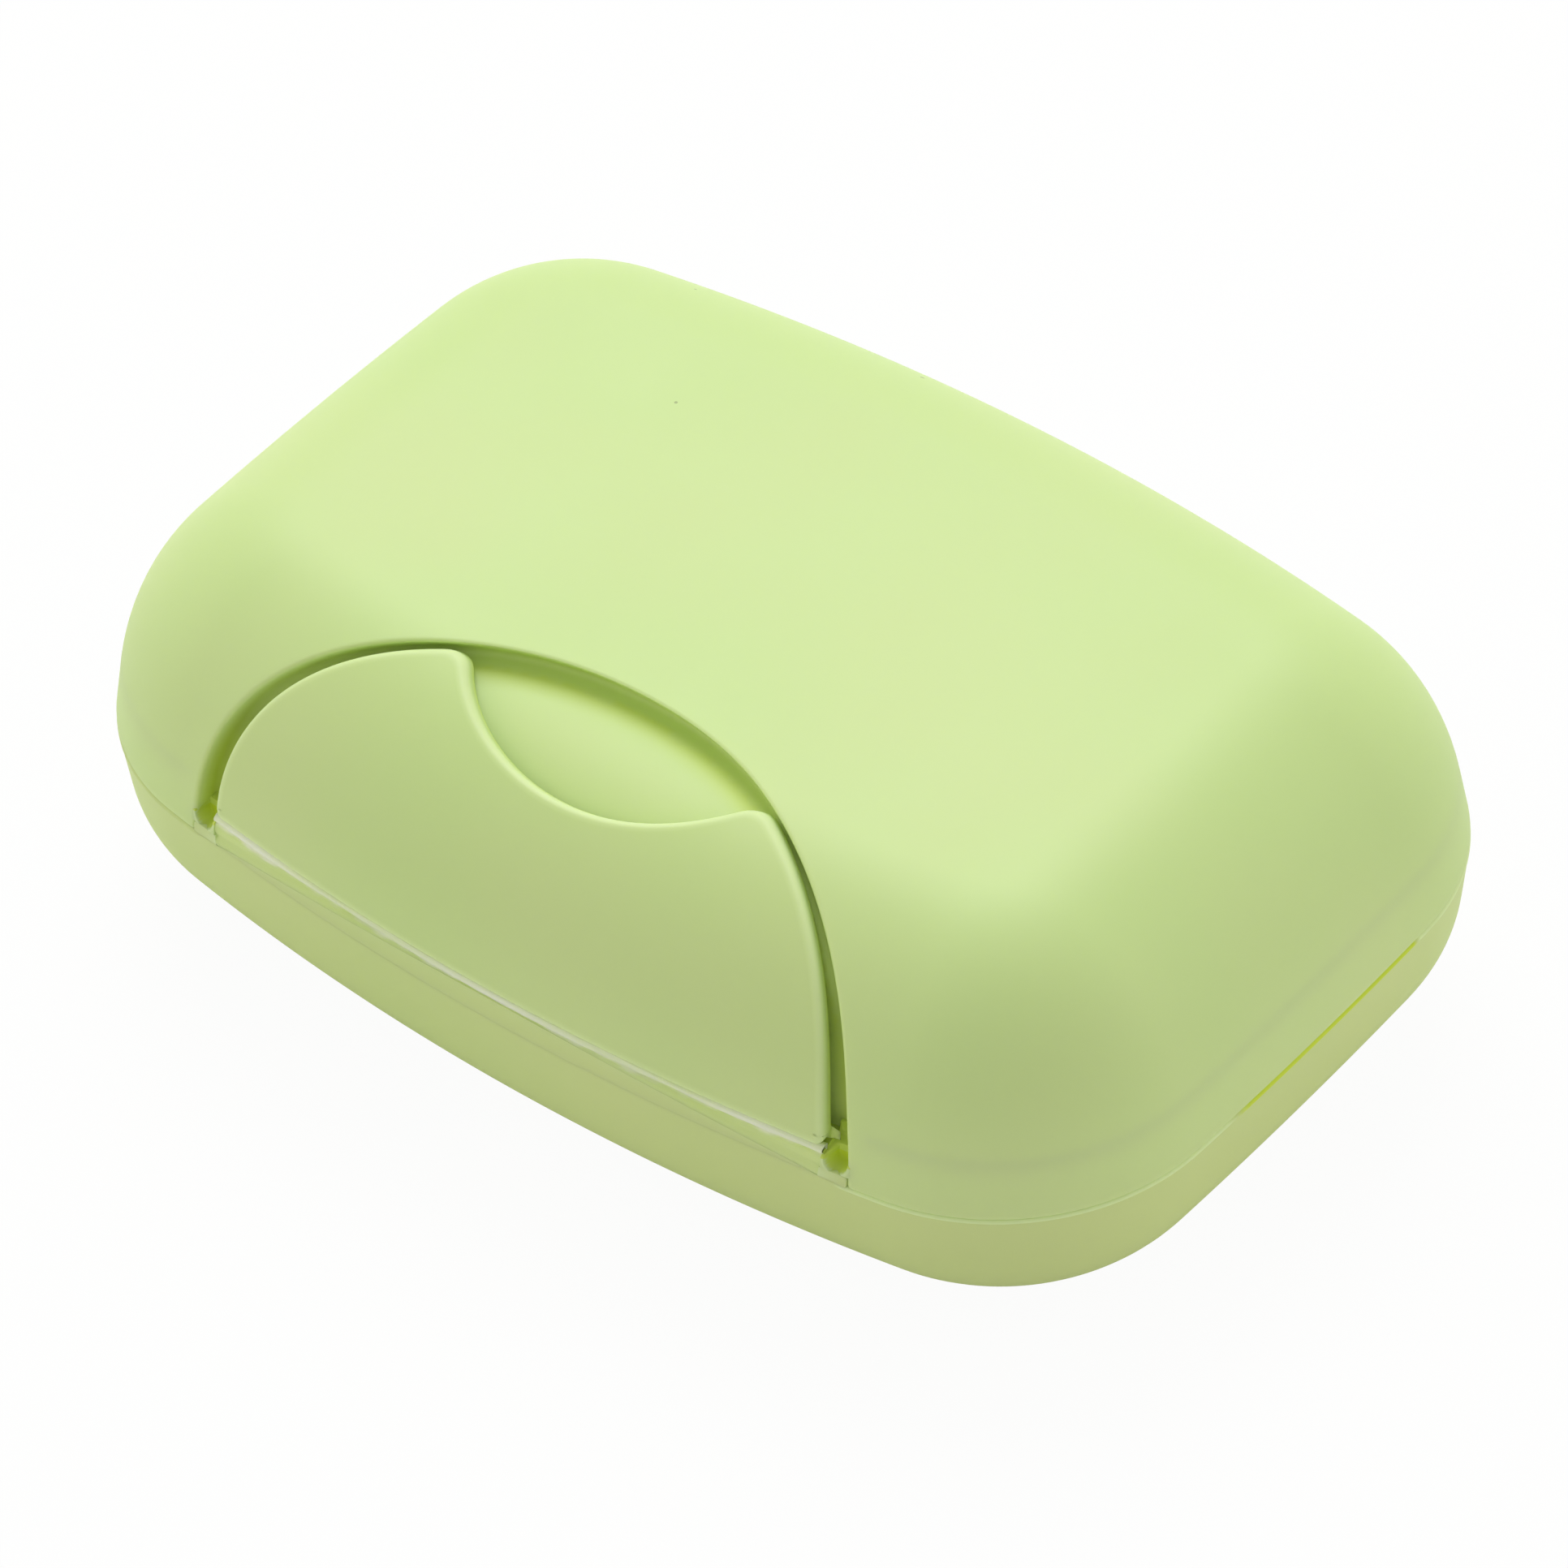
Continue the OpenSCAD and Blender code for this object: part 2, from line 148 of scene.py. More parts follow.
@dataclass(frozen=True)
class WallSection:
    """Drafted wall that runs into a quarter ellipse, from the parting line to the flat top or underside."""

    width: float
    height: float
    wall: float
    draft: float
    upward: int
    flat: float = 8.0

    @lru_cache(maxsize=None)
    def table(self) -> tuple[np.ndarray, ...]:
        """Returns: length along the section, distances in and from the parting line, inward direction."""
        curve_w = self.width - self.draft * self.wall
        curve_h = self.height - self.wall
        lean = self.draft * curve_h / curve_w
        start = math.asin(lean / (1 - lean))
        a, b = curve_w / math.cos(start), curve_h / (1 - math.sin(start))
        low = np.linspace(-5.0, self.wall, 60)[:-1]
        on = np.linspace(0.0, self.flat, 30)[1:]
        t = np.linspace(start, math.pi / 2, 700)
        size = math.hypot(1, self.draft)
        tangent = np.stack([a * np.sin(t), b * np.cos(t)])
        tangent /= np.linalg.norm(tangent, axis=0)
        curve = self.draft * self.wall + a * (math.cos(start) - np.cos(t))
        inward = np.concatenate([self.draft * low, curve, self.width + on])
        rise = self.wall + b * (np.sin(t) - math.sin(start))
        away = np.concatenate([low, rise, np.full(len(on), self.height)])
        to_in = np.concatenate([np.full(len(low), 1 / size), tangent[1], 0 * on])
        to_low = np.concatenate([np.full(len(low), self.draft / size), tangent[0], 0 * on + 1.0])
        along = np.concatenate([[0.0], np.cumsum(np.hypot(np.diff(inward), np.diff(away)))])
        along -= np.interp(0.0, away, along)
        return along, inward, away, to_in, to_low

    @property
    def end(self) -> float:
        """Length at which the section becomes flat."""
        return float(self.table()[0][-1]) - self.flat

    def at(self, s: Numbers, inset: Numbers) -> tuple[np.ndarray, np.ndarray]:
        """Returns: distances in and from the parting line, at lengths s on the surface moved in by inset."""
        along, inward, away, to_in, to_low = self.table()
        return (
            np.interp(s, along, inward) + inset * np.interp(s, along, to_in),
            np.interp(s, along, away) - inset * np.interp(s, along, to_low),
        )

    def at_height(self, z: Numbers, inset: Numbers = 0.0) -> np.ndarray:
        """Returns: lengths at which the surface moved in by inset lies at heights z from the parting line."""
        z, inset = np.broadcast_arrays(np.asarray(z, float), inset)
        along, _, away, _, to_low = self.table()
        found = [np.interp(v, away - w * to_low, along) for v, w in zip(z.ravel(), inset.ravel())]
        return np.array(found).reshape(z.shape)

    def point(self, u: np.ndarray, s: np.ndarray) -> np.ndarray:
        """Returns: outer surface points at u round the outline and s up the section."""
        d, z = self.at(s, 0.0)
        x, y = PLAN.place(u, d)
        return np.stack([x, y, PARTING + self.upward * z], -1)

    def seen(self, x: np.ndarray, p: np.ndarray, inset: Numbers) -> tuple[np.ndarray, np.ndarray, np.ndarray]:
        """Finds surface points from where they show on the slanted front view.

        Args:
            x: places across.
            p: places up the slanted view, from the front of the parting line.
            inset: how far in the surface lies.
        Returns:
            Points, lengths round the outline and lengths up the section.
        """
        x, p, inset = np.broadcast_arrays(np.asarray(x, float), p, inset)
        low = np.full(x.shape, self.table()[0][0])
        high = np.full(x.shape, self.end + self.flat)
        for _ in range(40):
            mid = (low + high) / 2
            d, z = self.at(mid, inset)
            above = (PLAN.front(x, d)[0] + PLAN.width / 2 + z) * ROOT_HALF > p
            high = np.where(above, mid, high)
            low = np.where(above, low, mid)
        s = (low + high) / 2
        return self.across(x, s, inset), PLAN.front(x, self.at(s, 0.0)[0])[1], s

    def across(self, x: np.ndarray, s: np.ndarray, inset: Numbers) -> np.ndarray:
        """Returns: front points at x and at s up the section, moved in by inset."""
        x, s, inset = np.broadcast_arrays(np.asarray(x, float), s, inset)
        d, z = self.at(s, inset)
        return np.stack([x, PLAN.front(x, d)[0], PARTING + self.upward * z], -1)

    def level(self, x: np.ndarray, z: Numbers, inset: Numbers) -> np.ndarray:
        """Returns: front points at x and at heights z from the parting line, moved in by inset."""
        x, z, inset = np.broadcast_arrays(np.asarray(x, float), z, inset)
        return self.across(x, self.at_height(z, inset), inset)

    def seen_from(self, u: np.ndarray, s: np.ndarray) -> tuple[np.ndarray, np.ndarray]:
        """Returns: x and the slanted front view's p of outer surface points."""
        q = self.point(u, s)
        return q[..., 0], (q[..., 1] + PLAN.width / 2 + self.upward * (q[..., 2] - PARTING)) * ROOT_HALF


LID_FORM = WallSection(18.8, 21.3, 4.3, 0.17, 1)
BASE_FORM = WallSection(17.3, 17.3, 5.5, 0.113, -1)


class Edge(Enum):
    """How sharply a mesh may turn, in degrees, before its shading breaks."""

    SOFT = 180.0
    MOULDED = 42.0


def smoothstep(value: Numbers, low: float, high: float) -> np.ndarray:
    """Returns: a smooth ramp from 0 at low to 1 at high."""
    t = np.clip((value - low) / (high - low), 0, 1)
    return t * t * (3 - 2 * t)


def bell(value: Numbers, centre: float, reach: float) -> np.ndarray:
    """Returns: a smooth hump that is 1 at centre and fades over reach."""
    return np.exp(-(((value - centre) / reach) ** 2))


def quarter(count: int) -> np.ndarray:
    """Returns: evenly spaced angles from 0 to a right angle."""
    return np.linspace(0, math.pi / 2, count)


def blended(first: np.ndarray, second: np.ndarray, share: np.ndarray) -> np.ndarray:
    """Returns: rows of points between two sets, with the second one's share at each place along the rows."""
    share = share[None, :, None]
    return first * (1 - share) + second * share


def walk(corners: Sequence[Cell]) -> list[Cell]:
    """Returns: every cell on a path that runs straight from one corner cell to the next."""
    cells = [corners[0]]
    for (a, b), (c, d) in zip(corners[:-1], corners[1:]):
        n = max(abs(c - a), abs(d - b))
        cells += [(a + (c - a) * k // n, b + (d - b) * k // n) for k in range(1, n + 1)]
    return cells


def resample(points: np.ndarray, spacing: Callable[[np.ndarray], np.ndarray]) -> np.ndarray:
    """Spaces points evenly along a curve.

    Args:
        points: dense open curve, one point a row.
        spacing: gives the wanted distance between points at given places.
    Returns:
        The new points, with the same two ends.
    """
    steps = np.linalg.norm(np.diff(points, axis=0), axis=1)
    want = spacing((points[1:] + points[:-1]) / 2)
    weight = np.concatenate([[0.0], np.cumsum(steps / want)])
    at = np.linspace(0, weight[-1], max(2, int(round(weight[-1]))) + 1)
    return np.stack([np.interp(at, weight, points[:, k]) for k in range(points.shape[1])], 1)


def left_normals(points: np.ndarray, closed: bool) -> np.ndarray:
    """Returns: unit directions to the left of a flat curve, at each of its points."""
    along = np.roll(points, -1, 0) - np.roll(points, 1, 0) if closed else np.gradient(points, axis=0)
    along /= np.linalg.norm(along, axis=1, keepdims=True)
    return np.stack([-along[:, 1], along[:, 0]], 1)


def distance(points: np.ndarray, curve: np.ndarray) -> np.ndarray:
    """Returns: the distance from each point to the nearest point of a dense curve."""
    out = np.empty(len(points))
    for k in range(0, len(points), 500):
        part = points[k : k + 500]
        out[k : k + 500] = np.sqrt(((part[:, None] - curve[None]) ** 2).sum(-1).min(1))
    return out


def inside(points: np.ndarray, loop: np.ndarray) -> np.ndarray:
    """Returns: which points lie inside a closed flat loop."""
    hit = np.zeros(len(points), bool)
    for (ax, ay), (bx, by) in zip(loop, np.roll(loop, -1, 0)):
        if ay == by:
            continue
        crosses = (ay > points[:, 1]) != (by > points[:, 1])
        hit ^= crosses & (points[:, 0] < (bx - ax) * (points[:, 1] - ay) / (by - ay) + ax)
    return hit


class MeshSketch:
    """Points and faces of one piece in millimetres, gathered before the mesh is made."""

    def __init__(self) -> None:
        """Starts empty."""
        self.points: list[np.ndarray] = []
        self.marks: list[np.ndarray] = []
        self.faces: list[Face] = []
        self.count = 0

    def add(self, points: np.ndarray, mark: Numbers = 0.0) -> np.ndarray:
        """Adds points.

        Args:
            points: one point a row.
            mark: above 0 for the deep colour, which is painted shade on the shells and the pale fold on the
                hinge films, and below 0 for the rim colour, a painted highlight; 1 at most either way.
        Returns:
            Their numbers.
        """
        flat = np.asarray(points, float).reshape(-1, 3)
        self.points.append(flat)
        self.marks.append(np.broadcast_to(mark, (len(flat),)).astype(float))
        first = self.count
        self.count += len(flat)
        return np.arange(first, self.count).reshape(np.asarray(points).shape[:-1])

    def strip(self, first: np.ndarray, second: np.ndarray, closed: bool = False) -> None:
        """Joins two rows of the same count with four-sided faces."""
        n = len(first)
        for k in range(n if closed else n - 1):
            j = (k + 1) % n
            self.faces.append((int(first[k]), int(first[j]), int(second[j]), int(second[k])))

    def grid(self, index: np.ndarray, around: bool = False, closed_rows: bool = False) -> None:
        """Fills a block of numbers, one row joined to the next, each row closed if it runs around."""
        for k in range(len(index) - 1):
            self.strip(index[k], index[k + 1], around)
        if closed_rows:
            self.strip(index[-1], index[0], around)

    def cap(self, loop: Iterable[int]) -> None:
        """Closes a flat loop with one face."""
        self.faces.append(tuple(int(k) for k in loop))

    def turn(self, first: int) -> None:
        """Turns the faces from number first on to look the other way."""
        self.faces[first:] = [face[::-1] for face in self.faces[first:]]

    def fill(self, flat: np.ndarray, index: np.ndarray, edges: Sequence[Cell]) -> None:
        """Triangulates points on a flat chart inside closed edges.

        Args:
            flat: places of the points on the chart.
            index: the points' numbers in this sketch.
            edges: pairs of chart points that stay joined.
        """
        spots = [Vector((float(a), float(b))) for a, b in flat]
        _, _, faces, origin, _, _ = delaunay_2d_cdt(spots, [tuple(map(int, e)) for e in edges], [], 1, 1e-7)
        for face in faces:
            corners = [origin[v] for v in face]
            if all(corners):
                self.faces.append(tuple(int(index[c[0]]) for c in corners))

    def build(self, name: str, finish: "Finish", body: str, edge: Edge = Edge.MOULDED) -> bpy.types.Object:
        """Makes the object, dresses it and puts it on its body.

        Args:
            name: the piece's name.
            finish: what it is dressed in.
            body: the CAD body that it rides on, empty for a piece that rides on none.
            edge: how its shading treats edges.
        Returns:
            The new object.
        """
        mesh = bpy.data.meshes.new(name)
        mesh.from_pydata((np.concatenate(self.points) * MM).tolist(), [], self.faces)
        # the groove attribute holds the painted-light mark: painted shade above 0 (on the films the pale fold)
        # and painted highlight below 0
        layer = mesh.attributes.new("groove", "FLOAT", "POINT")
        layer.data.foreach_set("value", np.concatenate(self.marks).astype(np.float32))
        mesh.validate()
        mesh.update()
        for polygon in mesh.polygons:
            polygon.use_smooth = True
        if edge is not Edge.SOFT:
            mesh.set_sharp_from_angle(angle=math.radians(edge.value))
        mesh.materials.append(finish.material())
        piece = bpy.data.objects.new(name, mesh)
        bpy.context.scene.collection.objects.link(piece)
        if body:
            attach(piece, body)
        carrier = body or "two bodies"
        LOG.info("%s: %d points, %d faces, rides on %s", name, self.count, len(self.faces), carrier)
        return piece


def ring_points(profile: Sequence[tuple[float, float]], u: np.ndarray) -> np.ndarray:
    """Returns: rows of points that carry each (inset, height) pair of a profile round the outline."""
    return np.array([np.stack(np.broadcast_arrays(*PLAN.place(u, inset), z), -1) for inset, z in profile])


def rounded(corners: Sequence[tuple[float, float, float]], steps: int = 4) -> list[tuple[float, float]]:
    """Rounds the corners of a profile.

    Args:
        corners: both coordinates of each corner, and how far from it the rounding starts, 0 for none.
        steps: points on each rounding.
    Returns:
        The new profile.
    """
    out: list[tuple[float, float]] = []
    for k, (x, y, radius) in enumerate(corners):
        if radius <= 0 or k in (0, len(corners) - 1):
            out.append((x, y))
            continue
        c = np.array((x, y))
        back = np.array(corners[k - 1][:2]) - c
        on = np.array(corners[k + 1][:2]) - c
        a = c + back / np.linalg.norm(back) * radius
        b = c + on / np.linalg.norm(on) * radius
        for t in np.linspace(0, 1, steps):
            q = (1 - t) ** 2 * a + 2 * t * (1 - t) * c + t * t * b
            out.append((float(q[0]), float(q[1])))
    return out


# Finishes


class NodeBuilder:
    """Short ways to place and join shader nodes."""

    def __init__(self, tree: bpy.types.NodeTree) -> None:
        """Works on one tree."""
        self.tree = tree

    def feed(self, node: bpy.types.Node, inputs: dict) -> bpy.types.Node:
        """Sets or joins a node's inputs.

        Args:
            node: whose inputs they are.
            inputs: values or other nodes' outputs, by the input's name or number.
        Returns:
            The node.
        """
        for key, value in inputs.items():
            if isinstance(value, bpy.types.NodeSocket):
                self.tree.links.new(value, node.inputs[key])
            else:
                node.inputs[key].default_value = value
        return node

    def node(self, kind: str, inputs: dict | None = None, **values: object) -> bpy.types.Node:
        """Adds a node.

        Args:
            kind: the node's type.
            inputs: what its inputs are set or joined to.
            values: its properties.
        Returns:
            The node.
        """
        made = self.tree.nodes.new(kind)
        for name, value in values.items():
            setattr(made, name, value)
        return self.feed(made, inputs or {})

    def math(self, operation: str, a: object, b: object = 0.0, clamp: bool = False) -> bpy.types.NodeSocket:
        """Returns: the output of a Math node whose inputs are sockets or numbers."""
        return self.node("ShaderNodeMath", {0: a, 1: b}, operation=operation, use_clamp=clamp).outputs[0]

    def mix(self, factor: object, a: object, b: object) -> bpy.types.NodeSocket:
        """Returns: the colour between the sockets a and b."""
        return self.node("ShaderNodeMix", {0: factor, 6: a, 7: b}, data_type="RGBA").outputs[2]

    def shade(self, factor: object, a: object, b: object, target: bpy.types.Node) -> None:
        """Joins what lies between the shaders a and b to the surface of an output node."""
        mixed = self.node("ShaderNodeMixShader", {0: factor, 1: a, 2: b})
        self.feed(target, {"Surface": mixed.outputs[0]})


def new_group(
    name: str, inputs: Sequence[tuple[str, object]], outputs: Sequence[tuple[str, str]]
) -> NodeBuilder:
    """Starts a shader node group.

    Args:
        name: the group's name.
        inputs: name and default value of each input, a number or a colour.
        outputs: name and socket type of each output.
    Returns:
        A builder on the group's tree.
    """
    tree = bpy.data.node_groups.new(name, "ShaderNodeTree")
    for label, value in inputs:
        kind = "NodeSocketFloat" if isinstance(value, float) else "NodeSocketColor"
        socket = tree.interface.new_socket(name=label, in_out="INPUT", socket_type=kind)
        socket.default_value = value if isinstance(value, float) else (*value, 1.0)
    for label, kind in outputs:
        tree.interface.new_socket(name=label, in_out="OUTPUT", socket_type=kind)
    return NodeBuilder(tree)


@lru_cache(maxsize=None)
def satin_grain_group() -> bpy.types.NodeTree:
    """Fine spark-eroded mould texture. Returns: a group that gives a height and a roughness change."""
    outputs = [("Height", "NodeSocketFloat"), ("Roughness", "NodeSocketFloat")]
    b = new_group("satin_grain", [("Rough", 0.5), ("Spread", 0.1)], outputs)
    into = b.node("NodeGroupInput").outputs
    place = b.node("ShaderNodeTexCoord").outputs["Object"]
    fine = b.node("ShaderNodeTexNoise", {"Vector": place, "Scale": 2600.0, "Detail": 3.0}).outputs[0]
    broad = b.node("ShaderNodeTexNoise", {"Vector": place, "Scale": 55.0, "Detail": 2.0}).outputs[0]
    swing = b.math("MULTIPLY", b.math("SUBTRACT", broad, 0.5), into["Spread"])
    height = b.math("ADD", b.math("MULTIPLY", broad, 0.8), fine)
    rough = b.math("ADD", into["Rough"], swing, clamp=True)
    b.node("NodeGroupOutput", {"Height": height, "Roughness": rough})
    return b.tree


@lru_cache(maxsize=None)
def melt_tone_and_painted_light_group() -> bpy.types.NodeTree:
    """Soft tone changes of moulded melt with rare specks, plus the painted shade and painted highlight of the
    groove mark. Returns: a group that gives a colour.
    """
    grey = (0.8, 0.8, 0.8)
    colours = [("Plain", grey), ("Cloud", grey), ("Painted Shade And Fold", grey), ("Painted Highlight", grey), ("Speck", grey)]
    b = new_group("melt_tone_and_painted_light", [*colours, ("Painted Light And Fold Mark", 0.0)], [("Color", "NodeSocketColor")])
    into = b.node("NodeGroupInput").outputs
    place = b.node("ShaderNodeTexCoord").outputs["Object"]
    cloud = b.node("ShaderNodeTexNoise", {"Vector": place, "Scale": 28.0, "Detail": 3.0, "Roughness": 0.45})
    ramp = b.math("MULTIPLY", b.math("SUBTRACT", cloud.outputs[0], 0.38), 3.2, clamp=True)
    toned = b.mix(ramp, into["Plain"], into["Cloud"])
    # painted shade where the mark is above 0 (on the films the pale fold), painted highlight where it is below
    # 0
    sunk = b.math("MAXIMUM", into["Painted Light And Fold Mark"], 0.0)
    painted_highlight_share = b.math("MAXIMUM", b.math("MULTIPLY", into["Painted Light And Fold Mark"], -1.0), 0.0)
    deep = b.mix(painted_highlight_share, b.mix(sunk, toned, into["Painted Shade And Fold"]), into["Painted Highlight"])
    cells = b.node("ShaderNodeTexVoronoi", {"Vector": place, "Scale": 78.0, "Randomness": 1.0}).outputs
    dot = b.math("LESS_THAN", cells["Distance"], 0.018)
    pick = b.node("ShaderNodeSeparateColor", {0: cells["Color"]}).outputs[0]
    spot = b.math("MULTIPLY", b.math("MULTIPLY", dot, b.math("LESS_THAN", pick, 0.55)), 0.55)
    b.node("NodeGroupOutput", {"Color": b.mix(spot, deep, into["Speck"])})
    return b.tree


@dataclass(frozen=True)
class Finish:
    """Moulded finish of one material slot."""

    name: str
    slot: str
    plain: Color
    cloud: Color
    # deep: painted shade for grooves, recesses and insides; on the hinge films, the pale fold
    deep: Color = (0.64, 0.78, 0.035)
    # rim: painted highlight for edges that catch light
    rim: Color = (0.78, 0.93, 0.48)
    speck: Color = (0.20, 0.24, 0.10)
    roughness: float = 0.52
    uneven: float = 0.12
    grain_depth: float = 0.000006
    index: float = 1.49
    glow: float = 0.18
    glow_reach: float = 0.0022
    glow_radius: Color = (1.0, 1.0, 0.35)

    @lru_cache(maxsize=None)
    def material(self) -> bpy.types.Material:
        """Returns: the material, built once."""
        made = bpy.data.materials.new(self.name)
        made.use_nodes = True
        b = NodeBuilder(made.node_tree)
        tones = {
            "Plain": self.plain, "Cloud": self.cloud, "Painted Shade And Fold": self.deep, "Painted Highlight": self.rim, "Speck": self.speck,
        }
        inputs = {label: (*value, 1.0) for label, value in tones.items()}
        inputs["Painted Light And Fold Mark"] = b.node("ShaderNodeAttribute", attribute_name="groove").outputs["Fac"]
        tone = b.node("ShaderNodeGroup", node_tree=melt_tone_and_painted_light_group())
        b.feed(tone, inputs)
        grain = b.node("ShaderNodeGroup", node_tree=satin_grain_group())
        b.feed(grain, {"Rough": self.roughness, "Spread": self.uneven})
        bump = {"Strength": 1.0, "Distance": self.grain_depth, "Height": grain.outputs["Height"]}
        b.feed(made.node_tree.nodes["Principled BSDF"], {
            "Base Color": tone.outputs["Color"],
            "Roughness": grain.outputs["Roughness"],
            "Normal": b.node("ShaderNodeBump", bump).outputs["Normal"],
            "IOR": self.index,
            "Subsurface Weight": self.glow,
            "Subsurface Radius": self.glow_radius,
            "Subsurface Scale": self.glow_reach,
        })
        return made


LID_FINISH = Finish("lid_moulded_green", "lid_pp", (0.63, 0.80, 0.335), (0.67, 0.80, 0.36))
BASE_FINISH = Finish("base_moulded_green", "base_pp", (0.62, 0.74, 0.30), (0.66, 0.75, 0.325))
LATCH_FINISH = Finish("latch_moulded_green", "latch_pp", (0.62, 0.78, 0.32), (0.66, 0.78, 0.35))
# the hinge film's deep colour is its pale fold: whitening with painted glints
WEB_FINISH = Finish(
    "hinge_film_green", "web_pp", (0.66, 0.84, 0.27), (0.72, 0.87, 0.34), (0.96, 1.0, 0.76),
    roughness=0.4, glow=0.3,
)
TRAY_FINISH = Finish(
    "tray_moulded_green", "tray_pp", (0.62, 0.77, 0.36), (0.67, 0.78, 0.40), (0.44, 0.56, 0.12)
)
RING_FINISH = Finish(
    "ring_pale_rubber", "ring_rubber", (0.82, 0.84, 0.78), (0.86, 0.88, 0.84), (0.60, 0.62, 0.54),
    rim=(0.90, 0.92, 0.88), roughness=0.38, grain_depth=0.000002, glow=0.35,
)


# Front latch outlines


@dataclass(frozen=True)
class SlantedArch:
    """Arch of a given half width and height on the slanted front view, with its two powers of roundness."""

    half: float
    height: float
    power: tuple[float, float]

    def dense(self, low: float) -> np.ndarray:
        """Returns: a dense curve over the arch from right to left, starting and ending at p = low."""
        a = quarter(900)
        x = self.half * np.cos(a) ** (2 / self.power[0])
        p = self.height * np.sin(a) ** (2 / self.power[1])
        legs = np.stack([np.full(40, self.half), np.linspace(low, 0, 41)[:-1]], 1)
        right = np.concatenate([legs, np.stack([x, p], 1)])
        return np.concatenate([right, right[::-1][1:] * np.array([-1, 1])])


@dataclass(frozen=True)
class LatchSizes:
    """Sizes of the recess and the flap, in millimetres."""

    recess: SlantedArch = SlantedArch(36.2, 30.7, (2.1, 2.3))
    flap: SlantedArch = SlantedArch(33.8, 30.6, (2.0, 2.5))
    scoop_r: float = 21.5
    scoop_h: float = 20.3
    ear_r: float = 2.6
    flap_t: float = 1.5
    upper_depth: float = 2.2
    lower_depth: float = 2.9
    ledge: float = 15.1
    back_wall: float = 1.3
    foot: float = 2.95
    foot_corner: float = 0.9
    tongue: float = 2.25
    tongue_t: float = 1.6
    cheek: float = 1.0
    cheek_half: float = 36.17
    web_inset: float = 0.25
    web_t: float = 0.5
    bead_half: float = 13.0
    bead_p: float = 13.7
    bead_w: float = 0.9
    bead_t: float = 0.8


LATCH = LatchSizes()


def ridge_relief(height: np.ndarray, x: np.ndarray) -> np.ndarray:
    """Softens the ridge at the parting line, so that the base and the tongue on it look like one wall.

    Args:
        height: heights from the parting line, negative on the base.
        x: places across the front.
    Returns:
        How much further in the outer surface lies than the two drafted walls.
    """
    up, down, width = LID_FORM.draft, BASE_FORM.draft, 1.8
    full_height, no_height, full_x, no_x = 3.2, 5.2, 31.0, 35.6
    smooth = (up + down) / 2 * np.sqrt(height**2 + width**2) + (up - down) / 2 * height
    sharp = np.where(height > 0, up * height, -down * height)
    fade = 1 - smoothstep(np.abs(height), full_height, no_height)
    return (smooth - sharp) * fade * (1 - smoothstep(np.abs(x), full_x, no_x))


# Pieces


